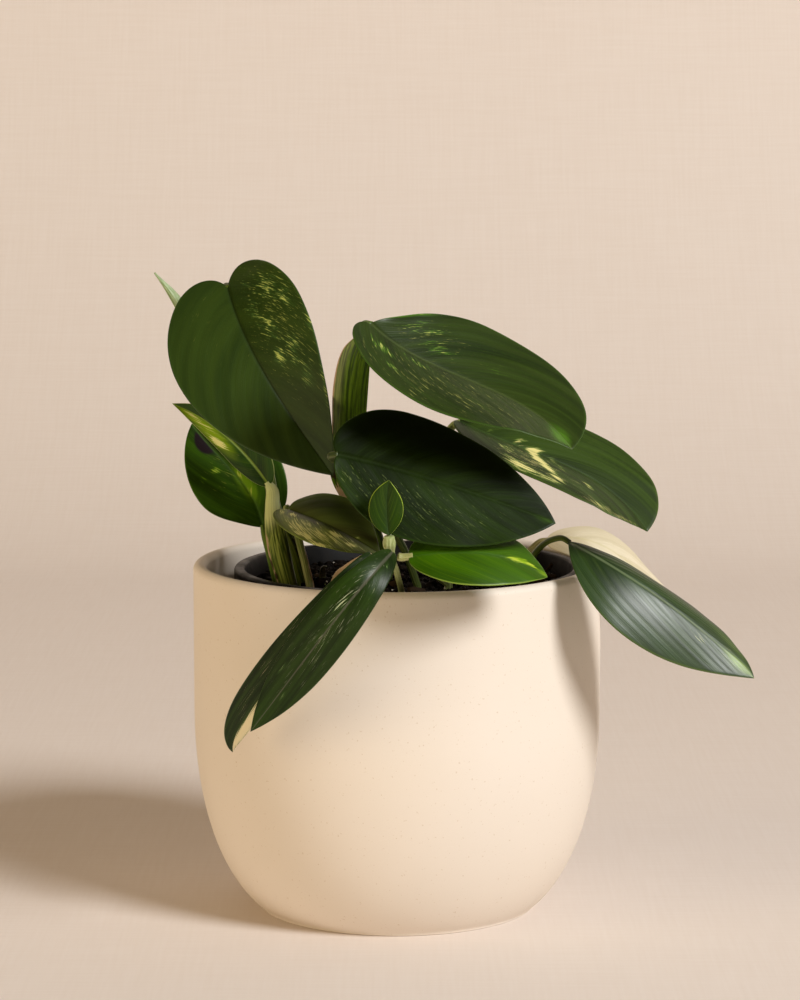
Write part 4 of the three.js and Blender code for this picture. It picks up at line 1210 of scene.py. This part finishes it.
def plastic_material(grower):
    """Injection-moulded black polypropylene: a soft sheen, scuffs that are a little greyer, and the
    fine grain of a spark-eroded mould."""
    material, tree = new_material("moulded_black_polypropylene", IOR=1.49, Specular_IOR_Level=0.12)
    place = add(tree, "ShaderNodeTexCoord", out="Object")
    scuffs = pattern(tree, place, 7, 6)
    grain = pattern(tree, place, 0.4, 1)
    layer = (grower.dust[:], 1.0, (scuffs, 0.45, 0.75))
    tone = coats(tree, grower.plastic[:], layer, curve="LINEAR")
    steps = {"Value": scuffs, "From Min": 0.3, "From Max": 0.7, "To Min": 0.34, "To Max": 0.55}
    rough = add(tree, "ShaderNodeMapRange", steps)
    return finish(material, tone, rough, (grain, 0.35, 0.05))


def peat_material(soil):
    """Damp peat: nearly black, rough, with browner crumbs of two to five millimetres."""
    material, tree = new_material("damp_peat", IOR=1.35, Roughness=0.9, Specular_IOR_Level=0.15)
    place = add(tree, "ShaderNodeTexCoord", out="Object")
    crumbs = pattern(tree, place, 3, 5)
    fibre = pattern(tree, place, 0.7, 2)
    stops = ((0.35, soil.peat_dark[:]), (0.55, soil.peat[:]), (0.72, soil.bark[:]))
    tone = add(tree, "ShaderNodeValToRGB", {"Fac": crumbs}, ramp=stops)
    return finish(material, tone, None, (fibre, 0.8, 0.5))


def grain_material(soil):
    """Loose grains: each has a tone of its own, from wet peat over brown bark to white perlite, and
    is darker in its pits."""
    material, tree = new_material(
        "peat_bark_and_perlite", IOR=1.35, Roughness=0.85, Specular_IOR_Level=0.15
    )
    kind = add(tree, "ShaderNodeAttribute", out="Fac", attribute_name="tone")
    pits = pattern(tree, add(tree, "ShaderNodeTexCoord", out="Object"), 0.5, 3)
    stops = (
        (0.1, soil.peat_dark[:]),
        (0.45, soil.peat[:]),
        (0.7, soil.bark[:]),
        (0.88, soil.bark_pale[:]),
        (0.94, soil.perlite[:]),
    )
    tone = add(tree, "ShaderNodeValToRGB", {"Fac": kind}, ramp=stops)
    tone = coats(tree, tone, (soil.peat_dark[:], mixture(tree, (pits, 0.35))))
    return finish(material, tone, None, (pits, 0.7, 0.3))


def leaf_material(name, leaf, settings, seed):
    """A waxy leaf. Under a thin cuticle, which gives a satin gloss that the fine veins draw out
    into streaks, the green drifts from dark to mid. Tissue without green shows as streaks and
    blotches along the side veins, with a rim of lighter green about them. The underside is paler
    and dull."""
    dark, mid = (linear(code) for code in leaf["greens"])
    light, cream = linear(leaf["light"]), linear(leaf["cream"])
    rib_code, rib_amount = leaf["rib"]
    edge_code, edge_amount = leaf.get("edge", (leaf["light"], 0.22))
    material, tree = new_material(
        "waxy_" + name,
        IOR=1.42,
        Coat_Weight=settings.wax,
        Specular_IOR_Level=leaf["gloss"],
        Coat_Roughness=0.24,
        Coat_IOR=1.45,
    )
    where, looks, more = (
        add(tree, "ShaderNodeAttribute", out="Vector", attribute_name=label)
        for label in ("leaf_place", "leaf_looks", "leaf_more")
    )
    under = add(tree, "ShaderNodeAttribute", out="Fac", attribute_name="underside")
    bare, flecked, lit = add(tree, "ShaderNodeSeparateXYZ", {0: looks}, slice(None))
    vein, bruised, _ = add(tree, "ShaderNodeSeparateXYZ", {0: more}, slice(None))
    from_rib, from_middle = (
        add(tree, "ShaderNodeMath", {0: part}, operation="ABSOLUTE")
        for part in add(tree, "ShaderNodeSeparateXYZ", {0: where}, slice(None))[1:]
    )
    # Noise drawn out along the side veins: the size across and along them, detail and shift
    broad, group, dash, speck, hair, satin = (
        pattern(tree, where, (across, along, math.inf), detail, (0, 0, shift + seed), 1)
        for across, along, detail, shift in (
            (11, 26, 2, 0),
            (2.2, 6.5, 2, 7),
            (0.75, 2.9, 2, 19),
            (0.38, 1.2, 2, 31),
            (0.5, 9, 2, 53),
            (0.6, 12, 3, 43),
        )
    )
    patchy = mixture(tree, (group, 0.32), (dash, 0.4), (speck, 0.28), (bare, 0.22))
    dotted = mixture(tree, (speck, 0.5), (dash, 0.5), (flecked, 0.22))
    tissue = coats(
        tree,
        dark,
        (mid, 1.0, (broad, 0.32, 0.68)),
        (light, 0.1, (hair, 0.48, 0.75)),
        (light, mixture(tree, (vein, 0.05))),
        # Light marks lay on the light green: painted highlights at some tips and painted light
        # through thin tissue, besides paler tissue.
        (light, 1.0, (mixture(tree, (lit, group), (lit, 0.45)), 0.1, 0.95)),
        # Dark marks lay on the deep green: painted shadows of the leaves above and painted shade in
        # a fold, besides darker tissue.
        (settings.shade[:], 0.92, (lit, 0, -1)),
        (light, 0.8, (patchy, 0.58, 0.68), (bare, 0.05, 0.3)),
        (cream, 0.92, (patchy, 0.655, 0.72), (bare, 0.05, 0.25)),
        (cream, 0.6, (dotted, 0.64, 0.76), (flecked, 0.03, 0.2)),
        (settings.bruise[:], 1.0, (bruised, 0.15, 0.4)),
        (linear(rib_code), rib_amount, (from_rib, 0.8, 0.25)),
        (linear(edge_code), edge_amount, (from_middle, 0.955, 0.99)),
        (settings.underside[:], mixture(tree, (under, 0.55))),
    )
    steps = {"Value": satin, "From Min": 0.3, "From Max": 0.7}
    steps.update({"To Min": settings.roughness - 0.05, "To Max": settings.roughness + 0.07})
    gloss = add(tree, "ShaderNodeMapRange", steps)
    rough = add(tree, "ShaderNodeMix", {0: under, 2: gloss, 3: 0.62}, data_type="FLOAT")
    cells = pattern(tree, add(tree, "ShaderNodeTexCoord", out="Object"), 0.45, 2)
    return finish(material, tissue, rough, (satin, 0.5, 0.1), (cells, 0.35, 0.05))


def stem_material(name, stalk, settings, seed):
    """A stalk's rind: smooth and a little waxy, striped along its length, with papery beige where
    the sheath has dried and brown where it has scarred."""
    base, stripe = linear(stalk["base"]), linear(stalk["stripe"])
    material, tree = new_material("rind_of_" + name, IOR=1.42, Coat_Weight=0.08, Coat_Roughness=0.3)
    where, looks = (
        add(tree, "ShaderNodeAttribute", out="Vector", attribute_name=label)
        for label in ("stem_place", "stem_looks")
    )
    dried, scarred, lit = add(tree, "ShaderNodeSeparateXYZ", {0: looks}, slice(None))
    # Noise drawn out along the stalk: the size across and along it, detail and shift
    stripes, ragged, mottle = (
        pattern(tree, where, (across, across, along), detail, (shift + seed, 0, 0), 1)
        for across, along, detail, shift in ((0.55, 26, 3, 0), (0.5, 2.6, 4, 11), (2.2, 5, 4, 23))
    )
    dry = mixture(tree, (ragged, 0.5), (dried, 1.0))
    scar = mixture(tree, (ragged, 0.9), (scarred, 1.0))
    rind = coats(
        tree,
        base,
        (stripe, 1.0, (stripes, 0.4, 0.6)),
        (base, 0.35, (mottle, 0.45, 0.75)),
        (settings.sheath[:], 0.85, (mixture(tree, (lit, stripes), (lit, 0.6)), 0.1, 1)),
        (settings.shade[:], 0.8, (lit, 0, -1)),
        (settings.dry[:], 1.0, (dry, 0.68, 0.8)),
        (settings.scar[:], 0.9, (scar, 0.85, 1.05)),
    )
    steps = {"Value": dry, "From Min": 0.6, "From Max": 0.85}
    steps.update({"To Min": settings.roughness, "To Max": 0.78})
    rough = add(tree, "ShaderNodeMapRange", steps, interpolation_type="SMOOTHSTEP")
    return finish(material, rind, rough, (stripes, 0.5, 0.15), (ragged, 0.35, 0.12))


def backdrop_material(stage):
    """Undyed linen under soft light: nearly plain, with the faint unevenness of its threads. Real
    threads of 0.4 mm are too fine to show from here, so they are drawn 1.6 mm apart."""
    material, tree = new_material("undyed_linen", IOR=1.45, Roughness=0.95)
    place = add(tree, "ShaderNodeTexCoord", out="Object")
    warp = pattern(tree, place, (1.6, 40, 40), 2)
    weft = pattern(tree, place, (40, 1.6, 1.6), 2)
    woven = mixture(tree, (warp, 1.0), (weft, 1.0))
    layer = (stage.linen[:], 1.0, (woven, 0.7, 1.3))
    return finish(material, coats(tree, stage.linen_shade[:], layer, curve="LINEAR"), None)


# Settings


class PLANT_PG_pot(bpy.types.PropertyGroup):
    """The ceramic pot."""

    radius: measure("Radius", "Of the upright wall", POT_BOX[1].x, 0.05)
    height: measure("Height", "From foot to lip", POT_BOX[1].z, 0.08)
    wall: measure("Wall", "Thickness of the wall", 0.0047, 0.002)
    sides: IntProperty(name="Sides", description="Faces round the pot", default=288, min=48)
    clay: colour("Cream", "Colour of the pot", "e7dccf")
    clay_shade: colour("Cream, thicker", "Colour where the coat is thicker", "e3d7c8")
    clay_speck: colour("Speck", "Colour of the specks in the clay", "b79b74")


class PLANT_PG_grower(bpy.types.PropertyGroup):
    """The grower's pot."""

    sides: IntProperty(name="Sides", description="Faces round the pot", default=224, min=48)
    plastic: colour("Plastic", "Colour of the grower's pot", "0c0a08")
    dust: colour("Scuffs", "Colour where it is scuffed", "16120e")


class PLANT_PG_soil(bpy.types.PropertyGroup):
    """The potting mix."""

    lumps: measure("Lumps", "Height of the lumps on the soil", 0.00045)
    grains: IntProperty(name="Grains", description="Loose grains of peat", default=3400, min=0)
    perlite_grains: IntProperty(name="Perlite", description="Grains of perlite", default=90, min=0)
    bark_chips: IntProperty(name="Bark", description="Chips of bark", default=60, min=0)
    peat_dark: colour("Wet peat", "Colour of the darkest peat", "080604")
    peat: colour("Peat", "Colour of the peat", "130e0a")
    bark: colour("Bark", "Colour of bark", "1b140d")
    bark_pale: colour("Pale bark", "Colour of dry bark", "463626")
    perlite: colour("Perlite", "Colour of perlite", "cfc8bc")


class PLANT_PG_leaves(bpy.types.PropertyGroup):
    """The leaves."""

    thickness: measure("Thickness", "Of a blade", 0.00055, 0.0003)
    vein_relief: measure("Vein relief", "How far the blade bulges", 0.00008)
    wax: fraction("Wax", "Strength of the waxy coat", 0.04)
    roughness: fraction("Roughness", "Of the cuticle", 0.36)
    # Laid on by the dark marks: the painted shadows and painted shade on some leaves, and the
    # darkest tissue on others.
    shade: colour("Deep green", "Colour of the darkest tissue", "070b03")
    underside: colour("Underside", "Colour of a blade's underside", "5f7442")
    bruise: colour("Bruise", "Colour of dead tissue", "1d1418")


class PLANT_PG_stems(bpy.types.PropertyGroup):
    """The stalks and the rolled leaf."""

    stem_sides: IntProperty(name="Sides", description="Faces round a stalk", default=64, min=12)
    roughness: fraction("Roughness", "Of the rind", 0.42)
    sheath: colour("Sheath", "Colour of a pale sheath", "d2d896")
    shade: colour("Deep green", "Colour of the darkest rind", "141d08")
    dry: colour("Dry margin", "Colour of dried sheath", "b59c7c")
    scar: colour("Scar", "Colour of scars", "2c1f14")


class PLANT_PG_stage(bpy.types.PropertyGroup):
    """The backdrop, the light and the camera."""

    linen: colour("Linen", "Colour of the backdrop", "e5dbd3")
    linen_shade: colour("Linen, shaded", "Colour between its threads", "e2d7ce")
    key_power: FloatProperty(
        name="Key", description="Power of the main light", unit="POWER", default=92.0, min=0
    )
    card_power: FloatProperty(
        name="Card", description="Power of the left fill", unit="POWER", default=16.5, min=0
    )
    key_size: measure("Key size", "Width of the main light", 1.0, 0.01)
    sky: FloatProperty(
        name="Fill", description="Brightness of the light all round", default=0.105, min=0
    )
    lens: FloatProperty(
        name="Lens", description="Focal length", unit="CAMERA", default=121.75, min=10
    )


# Operators


class PLANT_OT_ceramic_pot(bpy.types.Operator):
    """Builds the cream ceramic pot"""

    bl_idname = "plant.ceramic_pot"
    bl_label = "Ceramic pot"

    def execute(self, context):
        pot = context.scene.plant_pot
        profile = pot_profile(pot.radius / MM, pot.height / MM, pot.wall / MM)
        poles = [(0, 0, profile[0, 1]), (0, 0, profile[-1, 1])]
        skin = wrap(rings(profile, pot.sides), poles)
        make_piece("ceramic_pot", skin, ceramic_material(pot), "cream_ceramic", "pot")
        return {"FINISHED"}


class PLANT_OT_grower_pot(bpy.types.Operator):
    """Builds the black grower's pot with its drain holes"""

    bl_idname = "plant.grower_pot"
    bl_label = "Grower's pot"

    def execute(self, context):
        grower = context.scene.plant_grower
        rows = rings(grower_wall_profile(), grower.sides, GROWER_X)
        rows = np.concatenate([rows, rows[:1]])
        wall = Skin(rows.reshape(-1, 3), [grid_faces(len(rows), grower.sides, True)])
        skin = weld(join([weld(wall), grower_floor()]))
        make_piece("growers_pot", skin, plastic_material(grower), "grower_plastic", "grower_pot")
        return {"FINISHED"}


class PLANT_OT_potting_mix(bpy.types.Operator):
    """Builds the potting mix and the loose grains, bark and twigs on it"""

    bl_idname = "plant.potting_mix"
    bl_label = "Potting mix"

    def execute(self, context):
        soil = context.scene.plant_soil
        body = soil_body(soil.lumps / MM)
        make_piece("peat_bed", body, peat_material(soil), "potting_mix", "soil")
        loose = [loose_grains(getattr(soil, kind), *numbers) for kind, *numbers in GRAINS]
        share = np.linspace(0, 1, 14)[:, None]
        for start, end, radius, tone in TWIGS:
            path = np.multiply(start, 1 - share) + np.multiply(end, share)
            loose.append(rod(path + np.sin(np.pi * share) * TWIG_BEND, radius, tone))
        make_piece("loose_peat_and_perlite", join(loose), grain_material(soil), "potting_mix")
        return {"FINISHED"}


class PLANT_OT_leaves(bpy.types.Operator):
    """Builds every leaf's blade"""

    bl_idname = "plant.leaves"
    bl_label = "Leaves"

    def execute(self, context):
        settings = context.scene.plant_leaves
        for number, (name, leaf) in enumerate(LEAVES.items()):
            skin = blade(leaf, settings, number)
            slot = next((s for s, names in SLOTS.items() if name in names), "leaf_green")
            material = leaf_material(name, leaf, settings, 3.7 * number)
            make_piece(name + "_blade", skin, material, slot, name)
        return {"FINISHED"}


class PLANT_OT_stalks(bpy.types.Operator):
    """Builds the stalks, the shoot with its sheath, the rolled new leaf and the sprout"""

    bl_idname = "plant.stalks"
    bl_label = "Stalks"

    def execute(self, context):
        settings = context.scene.plant_stems
        for number, (name, stalk) in enumerate(STALKS.items()):
            skin = stem(stalk, settings)
            slot = next((s for s, names in SLOTS.items() if name in names), "stalk_pale")
            material = stem_material(name, stalk, settings, 5.3 * number)
            make_piece(name + "_rind", skin, material, slot, name)
        return {"FINISHED"}


class PLANT_OT_stage(bpy.types.Operator):
    """Sets the linen backdrop, the studio light and the camera"""

    bl_idname = "plant.stage"
    bl_label = "Stage"

    def execute(self, context):
        scene, stage = context.scene, context.scene.plant_stage
        scene.view_settings.view_transform = "Standard"
        profile = np.concatenate([LINEN_FRONT, arc(*LINEN_BEND, -90, 0, 24), LINEN_BACK])
        across = np.linspace(LINEN_WIDTH / 2, -LINEN_WIDTH / 2, 12)[None, :]
        height = np.maximum(profile[:, 1:], 0)
        rows = np.stack(np.broadcast_arrays(across, profile[:, :1], height), -1)
        faces = grid_faces(*rows.shape[:2], False)[:, ::-1]
        mesh = bpy.data.meshes.new("backdrop")
        mesh.from_pydata(rows.reshape(-1, 3).tolist(), [], faces.tolist())
        mesh.shade_smooth()
        mesh.materials.append(backdrop_material(stage))
        backdrop = bpy.data.objects.new("backdrop", mesh)
        scene.collection.objects.link(backdrop)

        def lamp(name, place, power, size, shade):
            light = bpy.data.lights.new(name, "AREA")
            light.shape, light.size, light.energy, light.color = "DISK", size, power, shade
            stand = bpy.data.objects.new(name, light)
            stand.location = place
            aim = Vector(AIM) - Vector(place)
            stand.rotation_euler = aim.to_track_quat("-Z", "Y").to_euler()
            scene.collection.objects.link(stand)
            return stand

        lamp("key_light", KEY_PLACE, stage.key_power, stage.key_size, KEY_COLOUR)
        card = lamp("fill_card", CARD_PLACE, stage.card_power, CARD_SIZE, CARD_COLOUR)
        card.visible_glossy = False
        world = bpy.data.worlds.new("studio")
        world.use_nodes = True
        sky = world.node_tree.nodes["Background"]
        sky.inputs["Color"].default_value = SKY_COLOUR
        sky.inputs["Strength"].default_value = stage.sky
        world.cycles_visibility.glossy = False
        scene.world = world

        camera = bpy.data.cameras.new("camera")
        camera.lens, camera.sensor_width = stage.lens, SENSOR_WIDTH
        tripod = bpy.data.objects.new("camera", camera)
        tripod.location = CAMERA_PLACE
        tripod.rotation_euler = (math.radians(90 - CAMERA_DIP), 0, 0)
        scene.collection.objects.link(tripod)
        scene.camera = tripod
        return {"FINISHED"}


OPERATORS = (
    PLANT_OT_ceramic_pot,
    PLANT_OT_grower_pot,
    PLANT_OT_potting_mix,
    PLANT_OT_leaves,
    PLANT_OT_stalks,
    PLANT_OT_stage,
)
SETTINGS = {
    "plant_pot": PLANT_PG_pot,
    "plant_grower": PLANT_PG_grower,
    "plant_soil": PLANT_PG_soil,
    "plant_leaves": PLANT_PG_leaves,
    "plant_stems": PLANT_PG_stems,
    "plant_stage": PLANT_PG_stage,
}


class PLANT_PT_panel(bpy.types.Panel):
    """Lists the steps that build the plant"""

    bl_idname = "PLANT_PT_panel"
    bl_label = "Potted monstera"
    bl_space_type = "VIEW_3D"
    bl_region_type = "UI"
    bl_category = "Plant"

    def draw(self, context):
        for operator in OPERATORS:
            self.layout.operator(operator.bl_idname)


def register():
    for kind in (*SETTINGS.values(), *OPERATORS, PLANT_PT_panel):
        bpy.utils.register_class(kind)
    for name, group in SETTINGS.items():
        setattr(bpy.types.Scene, name, PointerProperty(type=group))


def unregister():
    for name in SETTINGS:
        delattr(bpy.types.Scene, name)
    for kind in (PLANT_PT_panel, *reversed(OPERATORS), *SETTINGS.values()):
        bpy.utils.unregister_class(kind)


def main():
    """Builds every piece in order."""
    register()
    bpy.ops.plant.ceramic_pot()
    bpy.ops.plant.grower_pot()
    bpy.ops.plant.potting_mix()
    bpy.ops.plant.leaves()
    bpy.ops.plant.stalks()
    bpy.ops.plant.stage()


if __name__ == "__main__":
    main()
